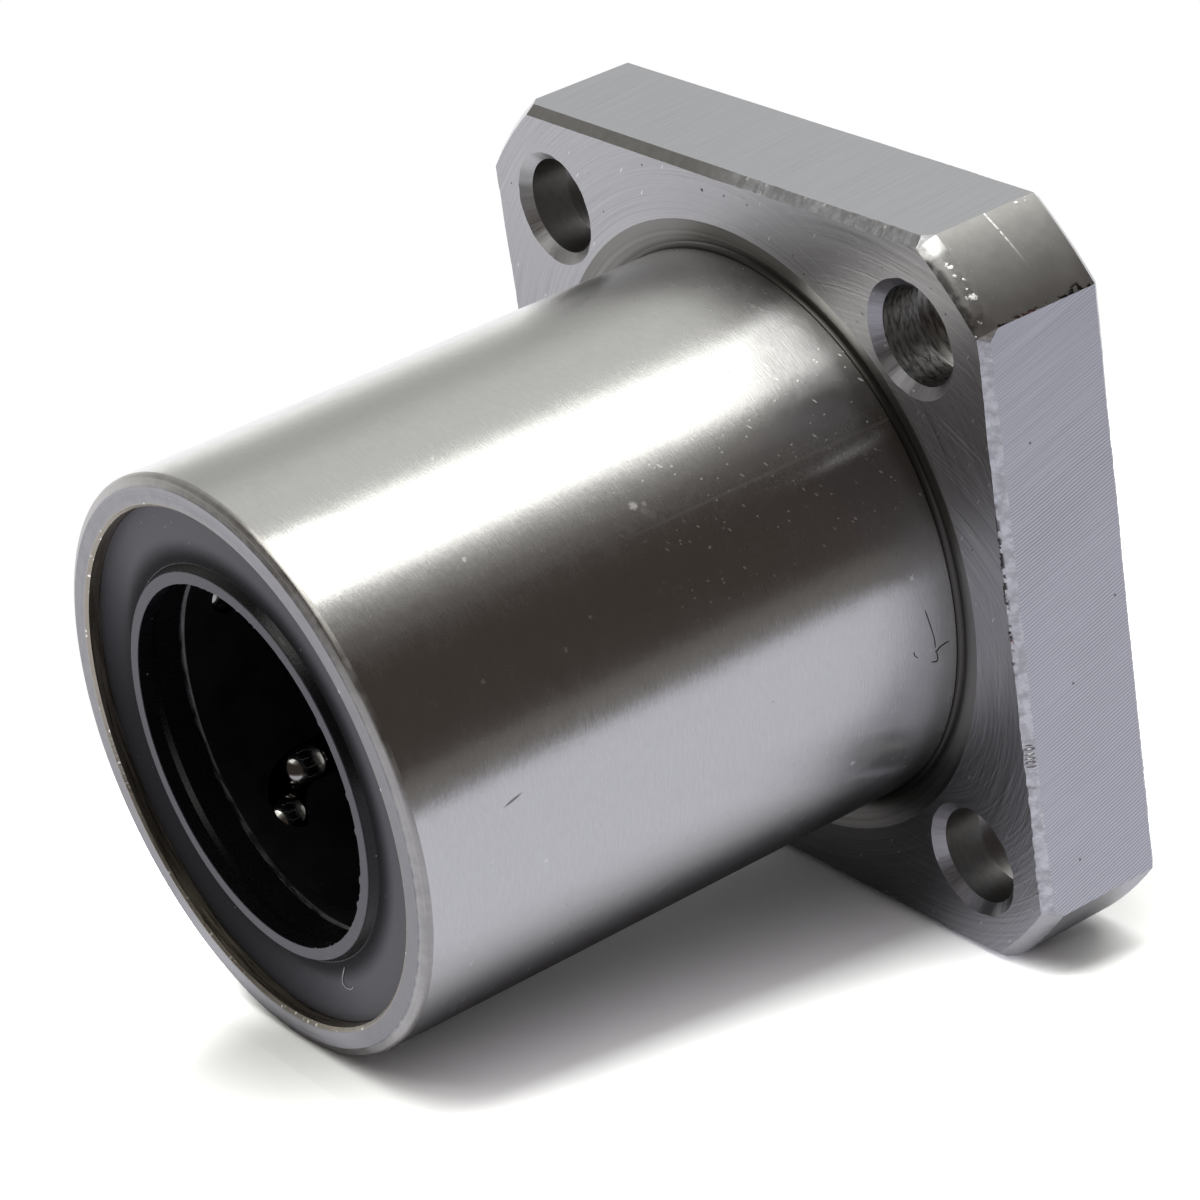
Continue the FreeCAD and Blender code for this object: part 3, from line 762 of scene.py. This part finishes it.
# x, z and half size of each
FACE_PITS = ((-0.91, 19.62, 0.13), (0.98, 19.72, 0.08), (2.91, 19.66, 0.07), (-6.1, 19.87, 0.08))


def torn_stretch(f):
    """Uneven patches along the torn stretch of the flange's right front edge."""
    above = f.ramp(f.z, TORN_LOW - 1, TORN_LOW + 1)
    below = f.ramp(f.z, TORN_HIGH + 2, TORN_HIGH - 2)
    return f.times(above, below, f.patches(1500, 0.5, 0.56, 3, 0.65))


def turned_face():
    """Faced steel: arcs round the axis, crossed by a second cut's, pitted, torn at the right edge."""
    f = steel("turned_face", 0.5, Finish.from_axis)
    rings = f.noise(f.lined(f.from_line(), 13000, 160), detail=3)
    second = f.from_line(*SWIRL_CENTRE)
    swirl = f.noise(f.lined(second, 11000, 120), detail=3)
    broad = f.ramp(f.noise(f.lined(second, 5200, 90), detail=3), 0.42, 0.68)
    patch = f.times(f.patches(120, 0.4, 0.6), f.ramp(f.x, 6, 13))
    marks = f.plus(rings, f.times(patch, f.minus(swirl, rings)))
    crossed = f.times(broad, f.ramp(f.x, 4, 14, 0.12, 1.0))
    pits = f.most(f.times(f.specks(1500, 0.6, 0.12), f.patches(160, 0.5, 0.62, 1)),
                  *[f.mark((x, 0, z), (size, 0.3, size)) for x, z, size in FACE_PITS])
    to_edge = f.minus(HALF_WIDTH - EDGE_BEVEL, f.x)
    torn = f.times(f.ramp(to_edge, 0.16, 0.05), torn_stretch(f))
    nicks = f.most(f.times(f.streaks((0.3, 0.9, 0.4), 300, 2600, 0.5, 0.12), 0.7),
                   *[f.times(f.mark((x, 0, z), (length, 0.3, width), (0.0, turn, 0.0)), strength)
                     for x, z, length, width, turn, strength in FACE_STREAKS])
    metal = f.blend(f.ramp(marks, 0.25, 0.75), (0.305, 0.3, 0.31), (0.44, 0.435, 0.45))
    colour = f.layers(metal, (f.times(crossed, 0.3), (0.57, 0.565, 0.58)),
                      (f.most(pits, torn), (0.06, 0.055, 0.055)), (nicks, (0.8, 0.8, 0.8)))
    height = f.plus(marks, f.times(crossed, 0.5), f.times(pits, -1.5))
    return f.coat(colour, f.swing(marks, 0.34, 0.46), height, 0.02)


MILL_PITCH = 0.2
MILL_SLANTS = (0.136, 0.277)
# y and z of each
FLAT_PITS = ((2.27, 10.2), (6.78, -0.27), (3.4, -4.0), (2.6, -14.2))


def milled_flat():
    """Milled steel: evenly spaced feed lines across the flange's thickness, slanted, fading in patches."""
    f = steel("milled_flat", 0.4, Finish.along_flat)
    sideways = f.absolute(f.along(f.normal(), (1, 0, 0)))
    lean = f.times(f.y, f.ramp(sideways, 0, 1, *MILL_SLANTS))
    slant = f.minus(f.along(f.at, f.along_flat()), lean)
    drift = f.times(f.cloud(260), 0.25)
    wave = f.math("SINE", f.times(f.plus(slant, drift), 2 * math.pi / MILL_PITCH))
    fade = f.times(f.ramp(sideways, 0, 1, 0.35, 1.0), f.ramp(f.z, 17, 6, 0.3, 1.0),
                   f.patches(130, 0.36, 0.6, start=0.25))
    scores = f.noise(f.lined(slant, 9000, 150))
    lines = f.plus(f.times(wave, fade, 0.55), f.times(scores, 0.5), 0.25)
    nicks = f.times(f.specks(1100, 0.06, 0.07, vector=f.spread(1, 0.7, 1)), 0.7)
    pits = f.most(f.specks(700, 0.3, 0.05, vector=f.moved(0.3, 0.1, 0.2)),
                  *[f.mark((HALF_WIDTH, y, z), (0.1, 0.1, 0.1)) for y, z in FLAT_PITS])
    metal = f.blend(f.ramp(lines, 0.1, 0.9), (0.37, 0.375, 0.404), (0.53, 0.535, 0.571))
    return f.coat(f.layers(metal, (pits, (0.12, 0.12, 0.13)), (nicks, (0.85, 0.86, 0.88))),
                  f.ramp(lines, 0.1, 0.9, 0.42, 0.32), lines, 0.015)


# Tool line and row of chips on the upper right corner: height at the corner's middle, and its slope
TOOL_LINE, TOOL_SLOPE = 4.52, -0.08
CHIP_LINE, CHIP_SLOPE = 0.54, 0.081
CORNER_DENT = (20.88, 6.5, 17.1)
CORNER_RUST = (21.0, 2.9, 16.95)
EDGE_RUST = (20.55, 0.05, -0.5)
# x, y, z and half size of each
CHIPS = (
    (18.22, 0.69, 19.62, 0.24), (18.58, 0.65, 19.24, 0.17), (18.96, 0.89, 19.09, 0.14),
    (19.23, 0.73, 18.67, 0.16), (19.59, 0.76, 18.32, 0.32), (20.28, 0.46, 17.26, 0.14),
)


def upper_right(f):
    """1 on the upper right corner of the flange and 0 on the other three."""
    return f.times(f.math("GREATER_THAN", f.x, 0.0), f.math("GREATER_THAN", f.z, 0.0))


def off_line(f, height, slope):
    """How far a place on the upper right corner is from a slanted line round it."""
    return f.absolute(f.minus(f.y, f.plus(f.times(f.minus(f.z, f.x), slope), height)))


def turned_corner():
    """Turned corners: satin. The upper right one has a bright tool line, painted glints along its top edge,
    and edges torn by a blow.
    """
    f = steel("turned_corner")
    struck = upper_right(f)
    line = f.times(f.ramp(off_line(f, TOOL_LINE, TOOL_SLOPE), 0.08, 0.02),
                   f.ramp(f.minus(f.z, f.x), -1.5, 2.5), f.patches(5000, 0.3, 0.54))
    # Painted glints: bright specks along the top edge of the upper right corner
    glints = f.times(f.ramp(f.z, HALF_WIDTH - 0.3, HALF_WIDTH - 0.1), f.ramp(f.y, 4.4, 5.0),
                     f.specks(2600, 0.5, 0.3, 2.0))
    bright = f.times(struck, f.most(line, glints))
    dents = f.most(f.ramp(f.x, HALF_WIDTH - 0.16, HALF_WIDTH - 0.03), f.mark(CORNER_DENT, (0.35, 0.9, 0.35)))
    dents = f.times(dents, f.patches(2400, 0.47, 0.57), struck)
    rust = f.mark(CORNER_RUST, (0.3, 0.8, 0.3))
    flecks = f.times(f.specks(2600, 0.12, 0.14, 2.0), 0.3)
    metal = f.blend(f.patches(1700, *NOISE_MIDDLE, 3), (0.35, 0.347, 0.34), (0.38, 0.376, 0.369))
    dark = f.blend(rust, (0.04, 0.036, 0.033), RUST)
    colour = f.layers(metal, (flecks, FLECK), (dents, dark), (bright, PALE_MARK_AND_GLINT))
    return f.coat(colour, f.swing(f.cloud(500), 0.285, 0.315), f.minus(bright, dents), 0.015, 0.5)


def chipped_bevel():
    """Front bevel of the turned corners: smooth, with a row of bright chips on the upper right one."""
    f = steel("chipped_bevel")
    cloud = f.cloud(900)
    struck = upper_right(f)
    row = f.ramp(off_line(f, CHIP_LINE, CHIP_SLOPE), 0.32, 0.14)
    chips = f.most(f.times(f.specks(2600, 0.2, 0.24, 2.0), struck, row),
                   *[f.mark((x, y, z), (size, 0.6 * size, size), (0.5, 0.3, 0.8), ragged=2.2)
                     for x, y, z, size in CHIPS])
    # Darker in patches towards the front face, on the upper right corner only
    dark_patches_near_face = f.times(f.ramp(f.y, 0.42, 0.2), f.patches(1500, 0.36, 0.56, 3), struck, 0.75)
    metal = f.blend(cloud, (0.4, 0.4, 0.4), (0.48, 0.48, 0.475))
    return f.coat(f.layers(metal, (dark_patches_near_face, (0.12, 0.118, 0.115)), (chips, (0.98, 0.98, 0.96))),
                  f.plus(f.swing(cloud, 0.24, 0.32), f.times(chips, 0.3)), chips, 0.012)


def filed_edge():
    """Edges filed by hand: even and brown at the top's left, scraped elsewhere, torn on the right, with
    painted glints on the scraped stretches.
    """
    f = steel("filed_edge")
    grain = f.cloud(1600)
    tears = f.noise(f.spread(1700, 900, 1700), detail=4, rough=0.7)
    scraped = f.most(f.ramp(f.x, TOP_FILED_FROM, TOP_FILED_FROM + TOP_FILED_OVER),
                     f.ramp(f.z, HALF_WIDTH - 1.2, HALF_WIDTH - 1.6))
    right = f.ramp(f.x, HALF_WIDTH - 0.8, HALF_WIDTH - 0.6)
    torn = f.times(f.ramp(f.y, 0.15, 0.03), torn_stretch(f), right)
    rust = f.mark(EDGE_RUST, (0.25, 0.2, 0.5))
    brown = f.blend(grain, (0.3, 0.292, 0.28), (0.36, 0.352, 0.34))
    rough = f.blend(f.ramp(tears, 0.35, 0.65), (0.39, 0.39, 0.405), (0.58, 0.58, 0.605))
    # Painted glints: bright specks on the scraped stretches
    glints = f.times(f.specks(1900, 0.3, 0.24, 2.0), scraped, f.ramp(f.y, 0.3, 0.42))
    colour = f.layers(brown, (scraped, rough), (glints, (0.95, 0.95, 0.94)),
                      (torn, f.blend(rust, (0.05, 0.042, 0.04), RUST)))
    height = f.times(tears, f.plus(f.times(scraped, 0.85), 0.15))
    return f.coat(colour, f.plus(f.swing(grain, 0.24, 0.32), f.times(scraped, 0.12)),
                  f.minus(height, torn), 0.025, 0.7)


def hole_place(f):
    """Angle round the nearest bolt hole's own axis, and the distance from it."""
    offsets = [f.minus(f.absolute(part), BOLT_OFFSET) for part in (f.x, f.z)]
    return f.math("ARCTAN2", *offsets), f.length(f.joined(*offsets))


def hole_mouth():
    """Bevelled mouths of the bolt holes: lilac grey, with painted light making those at the left paler, and
    faint ticks.
    """
    f = steel("hole_mouth")
    angle, _ = hole_place(f)
    ticks = f.noise(f.joined(f.times(angle, 26), f.times(f.y, 0.9)), detail=3)
    lilac = f.tones(ticks, (0.27, 0.262, 0.277), (0.35, 0.342, 0.359))
    # Painted light: the mouths on the left are painted paler
    pale = f.tones(ticks, (0.44, 0.435, 0.44), (0.5, 0.495, 0.5))
    chips = f.times(f.specks(2400, 0.35, 0.24, 2.0), f.patches(400, 0.42, 0.56, 1),
                    f.ramp(f.x, 0, 1, 0.1, 0.5))
    return f.coat(f.layers(lilac, (f.ramp(f.x, 0.0, -8), pale), (chips, FLECK)),
                  f.swing(ticks, 0.32, 0.42), f.plus(ticks, chips), 0.012)


def drilled_wall():
    """Drilled wall: dark, with the drill's marks round the hole, deepest at the upper right."""
    f = steel("drilled_wall")
    angle, reach = hole_place(f)
    scores = f.noise(f.joined(f.times(angle, 4.5), f.times(f.plus(f.y, reach), 4.2)), detail=3)
    scores = f.times(f.minus(scores, 0.5), f.ramp(f.plus(f.x, f.z), 0.0, 10, 0.12, 1.0))
    colour = f.blend(f.ramp(scores, -0.15, 0.15), (0.13, 0.127, 0.124), (0.28, 0.275, 0.268))
    return f.coat(colour, f.ramp(scores, -0.2, 0.2, 0.26, 0.42), scores, 0.04, 0.7)


def bored_wall():
    """Inside of the sleeve: hardened and brown, with fine lines round the axis."""
    f = steel("bored_wall")
    lines = f.noise(f.spread(300, 8000, 300))
    return f.coat(f.tones(lines, (0.28, 0.24, 0.18), (0.36, 0.32, 0.26)), f.swing(lines, 0.24, 0.4))


LIP_OUTER = 10.65
LIP_FOOT = 10.95
LIP_FACE = NOSE + 0.45
# Place of the painted highlight on the lip's outer edge
SEAL_HIGHLIGHT = (6.2, -33.5, 9.0)
CAGE_BEVEL_EDGE = 10.36
CAGE_MOUTH = NOSE + 3.5


def seal_rubber():
    """Moulded seal rubber: black and grained, dull at the lower left, with a paler cut face on the lip.
    Painted light gives the skin its tone towards the upper right and leaves the lower left near black as
    painted shade. Painted shade blackens the lip's walls and the plate at the lip's foot, and one pale mark
    is a painted highlight on the lip.
    """
    f = Finish("seal_rubber_finish")
    f.set(anisotropic=0.35, tangent=f.from_axis(), specular_ior_level=0.3)
    reach = f.from_line()
    grain = f.cloud(8000)
    lip = f.times(f.ramp(reach, LIP_OUTER + 0.06, LIP_OUTER), f.ramp(f.y, LIP_FACE, LIP_FACE - 0.02))
    # Painted shade: the lip's walls are painted black
    painted_shade_walls = f.times(f.ramp(f.y, LIP_FACE - 0.02, LIP_FACE + 0.05), f.ramp(reach, LIP_FOOT + 0.05, LIP_FOOT))
    # Painted shade: the plate darkens towards the lip's foot
    painted_shade_at_foot = f.ramp(reach, LIP_FOOT + 1.5, LIP_FOOT + 0.2)
    # Painted highlight on the lip's outer edge
    painted_highlight = f.times(f.mark(SEAL_HIGHLIGHT, (1.1, 0.25, 0.16), (0.0, 0.5, 0.0)), 0.9)
    specks = f.times(f.specks(1300, 0.4, 0.08), 0.4)
    # Painted light and shade: the skin's tone shows towards the upper right, and the lower left stays near
    # black
    lit = f.ramp(f.towards(0.8, 0.6), -1.0, 0.0)
    skin = f.blend(grain, (0.042, 0.042, 0.054), (0.086, 0.086, 0.106))
    cut = f.blend(grain, (0.058, 0.058, 0.072), (0.102, 0.102, 0.122))
    colour = f.layers((0.008, 0.008, 0.011), (lit, skin), (painted_shade_at_foot, (0.006, 0.006, 0.008)), (lip, cut),
                      (painted_shade_walls, (0.004, 0.004, 0.005)), (f.most(specks, painted_highlight), (0.5, 0.5, 0.52)))
    dull = f.most(f.minus(1.0, lit), f.times(painted_shade_at_foot, 0.8))
    dull = f.minus(f.times(dull, f.minus(1.0, f.most(lip, painted_shade_walls))), f.times(painted_shade_walls, 0.3))
    return f.coat(colour, f.plus(f.swing(grain, 0.36, 0.46), f.times(dull, 0.5)), grain, 0.01, 0.7)


def cage_resin():
    """Black moulded cage resin with a skin gloss, and a painted highlight in pale patches on the bevel of its
    mouth.
    """
    f = Finish("cage_resin_finish")
    flow = f.cloud(500)
    # Painted highlight: pale patches along the bevel of the cage's mouth
    pale_patches = f.times(f.ramp(f.from_line(), CAGE_BEVEL_EDGE, CAGE_BEVEL_EDGE + 0.08),
                     f.ramp(f.y, CAGE_MOUTH + 0.1, CAGE_MOUTH),
                     f.ramp(f.noise(f.spread(900, 6000, 900)), 0.4, 0.6))
    resin = f.blend(flow, (0.004, 0.004, 0.005), (0.01, 0.01, 0.011))
    return f.coat(f.blend(pale_patches, resin, (0.09, 0.09, 0.095)), f.swing(flow, 0.22, 0.36))


def clouded(f, scale, dark, pale, smooth_level, dull_level, detail=2.0):
    """Give a finish a tone and a roughness that follow a cloudy noise."""
    cloud = f.cloud(scale, detail)
    return f.coat(f.blend(cloud, dark, pale), f.swing(cloud, smooth_level, dull_level))


def ball_steel():
    """Polished bearing balls with a trace of oil."""
    return clouded(steel("ball_steel_finish"), 900, (0.3, 0.293, 0.28), (0.37, 0.362, 0.347), 0.07, 0.16)


def ring_steel():
    """Phosphated spring steel of the end rings."""
    return clouded(steel("ring_steel_finish"), 4000, (0.16, 0.15, 0.14), (0.24, 0.23, 0.22), 0.36, 0.55)


def fibre(name, colour):
    """Dull thread."""
    return clouded(Finish(name), 9000, [0.7 * part for part in colour], colour, 0.5, 0.7, detail=1)


def dress_solids(rubber):
    """Give each solid that stays its finish."""
    finishes = {"ball_retainer": cage_resin(), "seal": rubber, "ring": ring_steel(), "balls": ball_steel()}
    for name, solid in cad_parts.items():
        for key, material in finishes.items():
            if key in name:
                for slot in solid.material_slots:
                    slot.material = material


# Traces of use: threads, a burr and a frayed lip

# Angle in degrees and height of each point on the body
BODY_THREADS = (
    ((2.88, -1.71), (0.18, -1.56), (-3.54, -1.34), (-5.8, -1.3)),
    ((-6.71, -1.26), (-5.95, -0.91), (-5.73, -0.36)),
    ((-6.3, -1.3), (-7.6, -1.18), (-8.8, -1.21), (-8.4, -1.62)),
    ((-4.39, -2.73), (-5.33, -2.68), (-6.07, -2.48)),
)
# x and z of each point on the seal's face
SEAL_THREAD = ((5.45, -9.85), (4.92, -10.91), (5.12, -11.25), (5.68, -11.14), (5.98, -10.83))
SEAL_FACE = NOSE + 0.85
BODY_THREAD_RADIUS = 0.025
SEAL_THREAD_RADIUS = 0.03
THREAD_LIFT = 0.02
THREAD_STEPS = 8
LIP_FRONT = NOSE + 0.4
LIP_BORE = 10.02
SHRED_WAVE = 0.22
SHRED_SEED = 201
SHRED_REACH = 0.13
SHRED_STEPS = 720
BURR_ENDS = (-6.3, -7.9)
BURR_RIDGES = 6
BURR_LEAN = 0.06
BURR_HEIGHT = 0.13
BURR_SINK = 0.02
BURR_STEPS = (96, 12)


def thread_grid(points, radius, outward):
    """Fine thread: a circle carried along a curve through the points, thin at both ends.

    The curve is a cubic whose slope at each point is half the step between the point's neighbours.
    """
    points = np.array(points)
    known = np.concatenate([2 * points[:1] - points[1:2], points, 2 * points[-1:] - points[-2:-1]])
    place = np.linspace(0, len(points) - 1, THREAD_STEPS * (len(points) - 1) + 1)
    low = np.minimum(place.astype(int), len(points) - 2)
    share = (place - low)[:, None]
    before, first, last, after = [known[low + number] for number in range(4)]
    bend = (2 * before - 5 * first + 4 * last - after) * share ** 2
    bend = bend + (3 * first - before - 3 * last + after) * share ** 3
    path = first + ((last - before) * share + bend) / 2
    along = np.gradient(path, axis=0)
    aside = np.cross(along, path * (1, 0, 1) if outward is None else outward)
    aside = aside / np.linalg.norm(aside, axis=1, keepdims=True)
    up = np.cross(aside, along / np.linalg.norm(along, axis=1, keepdims=True))
    thick = radius * np.sqrt(1 - (2 * place / place[-1] - 1) ** 8)
    turn = np.linspace(0, 2 * math.pi, THREAD_STEPS + 1)[None, :, None]
    circle = np.cos(turn) * aside[:, None] + np.sin(turn) * up[:, None]
    return path[:, None] + thick[:, None, None] * circle


def burr_grid(rise):
    """Ridges pushed up on the right front bevel, or with no rise the underside that shares their edges."""
    along, across = [np.linspace(0, 1, steps + 1) for steps in BURR_STEPS]
    along = along[:, None]
    ridge = np.abs(np.sin(BURR_RIDGES * math.pi * (along + BURR_LEAN * across)))
    fade = np.sqrt(np.abs(np.sin(math.pi * along))) * np.sin(math.pi * across)
    height = rise * (BURR_SINK + BURR_HEIGHT * ridge) * fade - BURR_SINK
    lean = height / math.sqrt(2)
    x = HALF_WIDTH - EDGE_BEVEL * (1 - across) + lean
    y = EDGE_BEVEL * across - lean
    z = BURR_ENDS[0] + (BURR_ENDS[1] - BURR_ENDS[0]) * along
    return np.stack(np.broadcast_arrays(x, y, z), axis=-1)


def fray_grid():
    """Shreds on the inner edge of the seal's lip: a wedge whose tip reaches in by a random wave."""
    angles = np.linspace(0, 2 * math.pi, SHRED_STEPS + 1)
    shreds = wander(angles * LIP_BORE, 2 * math.pi * LIP_BORE, SHRED_WAVE, SHRED_SEED)
    shreds = np.clip(shreds * 1.6 - 0.5, 0, 1)
    side_share = np.clip(0.35 + 0.8 * np.cos(angles - math.radians(10)), 0.1, 1)
    tip = LIP_BORE - (0.01 + SHRED_REACH * shreds * side_share)
    outer = np.full_like(angles, LIP_BORE + 0.01)
    radius = np.stack([outer, tip, tip, outer, outer])
    return turned(radius, LIP_FRONT + np.array([0.01, 0.01, 0.05, 0.14, 0.01]), angles)


def make_traces(edge, rubber):
    """Threads caught on the body and the seal, the burr on the right front bevel and the frayed lip."""
    threads = []
    for points in BODY_THREADS:
        path = [on_body(angle, y, THREAD_LIFT) for angle, y in points]
        threads.append((thread_grid(path, BODY_THREAD_RADIUS, None), 0))
    path = [(x, SEAL_FACE - THREAD_LIFT, z) for x, z in SEAL_THREAD]
    threads.append((thread_grid(path, SEAL_THREAD_RADIUS, (0, -1, 0)), 1))
    materials = [fibre("dark_fibre", (0.025, 0.022, 0.02)), fibre("pale_fibre", (0.6, 0.6, 0.62))]
    lint = piece_from_grids("lint_threads", threads, materials, sharp_angle=60)
    burr = piece_from_grids("edge_burr", [(burr_grid(1.0), 0), (burr_grid(0.0), 0)], [edge], sharp_angle=60)
    frays = piece_from_grids("lip_frays", [(fray_grid(), 0)], [rubber], sharp_angle=60)
    for piece in (lint, burr, frays):
        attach(piece, "sleeve")


# Stage: floor, light and camera

# y and z of the lines on which the bearing rests
NOSE_CONTACT = (NOSE + 0.45, -BODY_RADIUS)
FLANGE_CONTACT = (0.5, -HALF_WIDTH)
RAMP_ENDS = (NOSE - 2, BACK + 4)
FLOOR_REACH = 3000.0
TABLE_EDGE = 150.0
TABLE_END = (0.19, 0.175, 0.158)
DIM_ROOM = (0.07, 0.056, 0.049)
WHITE = (1.0, 1.0, 1.0)
LAMP_COLOUR = (1.0, 1.0, 0.965)
# Lamps that face straight down: name, place, width and length in metres, brightness
LAMPS = (
    ("softbox", (0.03, 0.15, 0.6), (0.32, 1.5), 2.0),
    ("softbox_front", (0.025, -0.05, 0.59), (0.31, 0.5), 2.2),
    ("softbox_edge", (0.235, 0.15, 0.6), (0.09, 1.5), 0.4),
    ("softbox_edge", (0.33, 0.15, 0.6), (0.1, 1.5), 0.2),
    ("softbox_edge", (0.44, 0.15, 0.6), (0.12, 1.5), 0.07),
)
# The camera's own directions and its place, in the bearing's frame
CAMERA_RIGHT = Vector((0.59493, 0.79142, -0.14042))
CAMERA_DOWN = Vector((0.28248, -0.36942, -0.88529))
CAMERA_FORWARD = Vector((-0.75251, 0.48701, -0.44334))
CAMERA_PLACE = Vector((177.717, -125.935, 104.830))
LENS = 133.3
SENSOR_WIDTH = 36
CLIP_START = 10


def make_floor():
    """White floor that the bearing leans on: level, ramped between its two lines of contact, level again."""
    slope = (FLANGE_CONTACT[1] - NOSE_CONTACT[1]) / (FLANGE_CONTACT[0] - NOSE_CONTACT[0])
    lengths = np.array([-FLOOR_REACH, *RAMP_ENDS, FLOOR_REACH])
    heights = NOSE_CONTACT[1] + slope * (np.clip(lengths, *RAMP_ENDS) - NOSE_CONTACT[0])
    x, y = np.meshgrid((-FLOOR_REACH, FLOOR_REACH), lengths)
    grid = np.stack([x, y, np.broadcast_to(heights[:, None], x.shape)], axis=-1)
    mesh = bpy.data.meshes.new("floor")
    mesh.from_pydata((grid.reshape(-1, 3) * MM).tolist(), [], grid_quads(*x.shape).tolist())
    mesh.materials.append(floor_paper())
    floor = add_object("floor", mesh)


def floor_paper():
    """White paper: lit near the bearing with painted shadow there, even white further off for the camera, and
    for mirrored rays a glow with painted tones up to a table edge on the right.

    How far off a place is goes by its distance from the axis and from the bearing's ends, and is less beside
    the flange. For the camera it counts more on the left, and for mirrored rays much more past the ends.
    """
    f = Finish("floor_paper")
    f.tree.nodes.remove(f.shader)
    shown = f.node("ShaderNodeLightPath").outputs["Is Camera Ray"]

    def by_ray(mirrored, seen):
        return f.ramp(shown, 0, 1, mirrored, seen)

    past_end = f.most(f.minus(f.absolute(f.minus(f.y, MIDDLE)), HALF_LENGTH), 0.0)
    flange = f.ramp(f.y, -1, 3, 0.0, by_ray(7, 14))
    aside = f.most(f.minus(f.absolute(f.x), flange), 0.0)
    left = f.times(f.math("LESS_THAN", f.x, 0.0), shown)
    aside = f.times(aside, f.plus(f.times(left, 1.2), 1.0))
    away = f.length(f.joined(aside, f.times(past_end, by_ray(12.0, 1.0))))
    # Painted shadow that mirrored rays see: the floor's colour is dark near the bearing
    painted_shadow_for_mirrors = f.blend(f.ramp(away, 6, 13), (0.29, 0.288, 0.294), (0.85, 0.85, 0.9))
    # Painted shadow for the camera: the floor's colour is lower near the bearing, which deepens its real
    # shadow
    shade = f.blend(f.ramp(away, 0.0, 22), (1.15, 1.17, 1.17), (4.0, 4.05, 4.1))
    lit = f.node("ShaderNodeBsdfDiffuse", {"Color": f.blend(shown, painted_shadow_for_mirrors, shade)}).outputs[0]
    # Painted light for mirrored rays: the far floor glows bluish on the right, brighter on the left and dark
    # past the table edge
    table = f.layers((1.0, 1.0, 1.04), (f.ramp(f.x, 0, 20), (0.84, 0.84, 0.92)),
                     (f.ramp(f.x, -50, -150), (1.35, 1.35, 1.38)),
                     (f.ramp(f.x, TABLE_EDGE - 20, TABLE_EDGE + 20), TABLE_END))
    even = f.node("ShaderNodeEmission", {"Color": f.blend(shown, table, WHITE)}).outputs[0]
    further = f.ramp(away, by_ray(9, 25), by_ray(23, 90))
    mix = f.node("ShaderNodeMixShader", {0: further, 1: lit, 2: even}).outputs[0]
    output = next(node for node in f.tree.nodes if node.type == "OUTPUT_MATERIAL")
    f.feed(output.inputs[0], mix)
    return f.material


def make_room():
    """Pale wall on the left and behind, a dim room over the table's end elsewhere, white for the camera."""
    world = bpy.data.worlds.new("studio")
    world.use_nodes = True
    bpy.context.scene.world = world
    n = Nodes(world.node_tree)
    way = n.node("ShaderNodeTexCoord").outputs["Generated"]
    shown = n.node("ShaderNodeLightPath").outputs["Is Camera Ray"]
    height = n.along(way, (0, 0, 1))
    ahead = n.ramp(n.along(way, (0, 1, 0)), -0.6, 0.1, 0.45, 1.0)
    side = n.ramp(n.along(way, (-0.88, 0.47, 0.0)), -0.05, 0.5, 0.0, ahead)
    spill = n.ramp(n.along(way, (-0.4, 0.49, 0.77)), 0.86, 1.0, 0.0, 0.35)
    bright = n.plus(n.ramp(height, -0.02, 0.3, 1.4, 0.6), spill)
    pale = n.node("ShaderNodeCombineColor", {0: bright, 1: bright, 2: n.times(bright, 0.96)}).outputs[0]
    dim = n.blend(n.ramp(height, 0.038, 0.066, 1.0, 0.0), DIM_ROOM, TABLE_END)
    n.feed(n.tree.nodes["Background"].inputs["Color"], n.layers(dim, (side, pale), (shown, WHITE)))


def make_lamp(name, place, size, radiance):
    """Rectangular soft lamp of even brightness."""
    lamp = bpy.data.lights.new(name, "AREA")
    lamp.color = LAMP_COLOUR
    lamp.shape = "RECTANGLE"
    lamp.size, lamp.size_y = size
    lamp.energy = radiance * math.pi * size[0] * size[1]
    add_object(name, lamp).location = place


def make_camera():
    """Camera where the photograph was taken from."""
    camera = bpy.data.cameras.new("camera")
    camera.lens = LENS
    camera.sensor_width = SENSOR_WIDTH
    camera.clip_start = CLIP_START * MM
    item = add_object("camera", camera)
    turn = Matrix((CAMERA_RIGHT, -CAMERA_DOWN, -CAMERA_FORWARD)).transposed().to_4x4()
    item.matrix_world = Matrix.Translation(CAMERA_PLACE * MM) @ turn
    bpy.context.scene.camera = item


filed = filed_edge()
rubber = seal_rubber()
make_sleeve([ground_body(), turned_rim(), root_groove(), turned_face(), milled_flat(), turned_corner(),
             chipped_bevel(), filed, hole_mouth(), drilled_wall(), bored_wall()])
dress_solids(rubber)
make_traces(filed, rubber)
make_floor()
make_room()
for lamp in LAMPS:
    make_lamp(*lamp)
make_camera()
bpy.context.scene.view_settings.view_transform = "Standard"
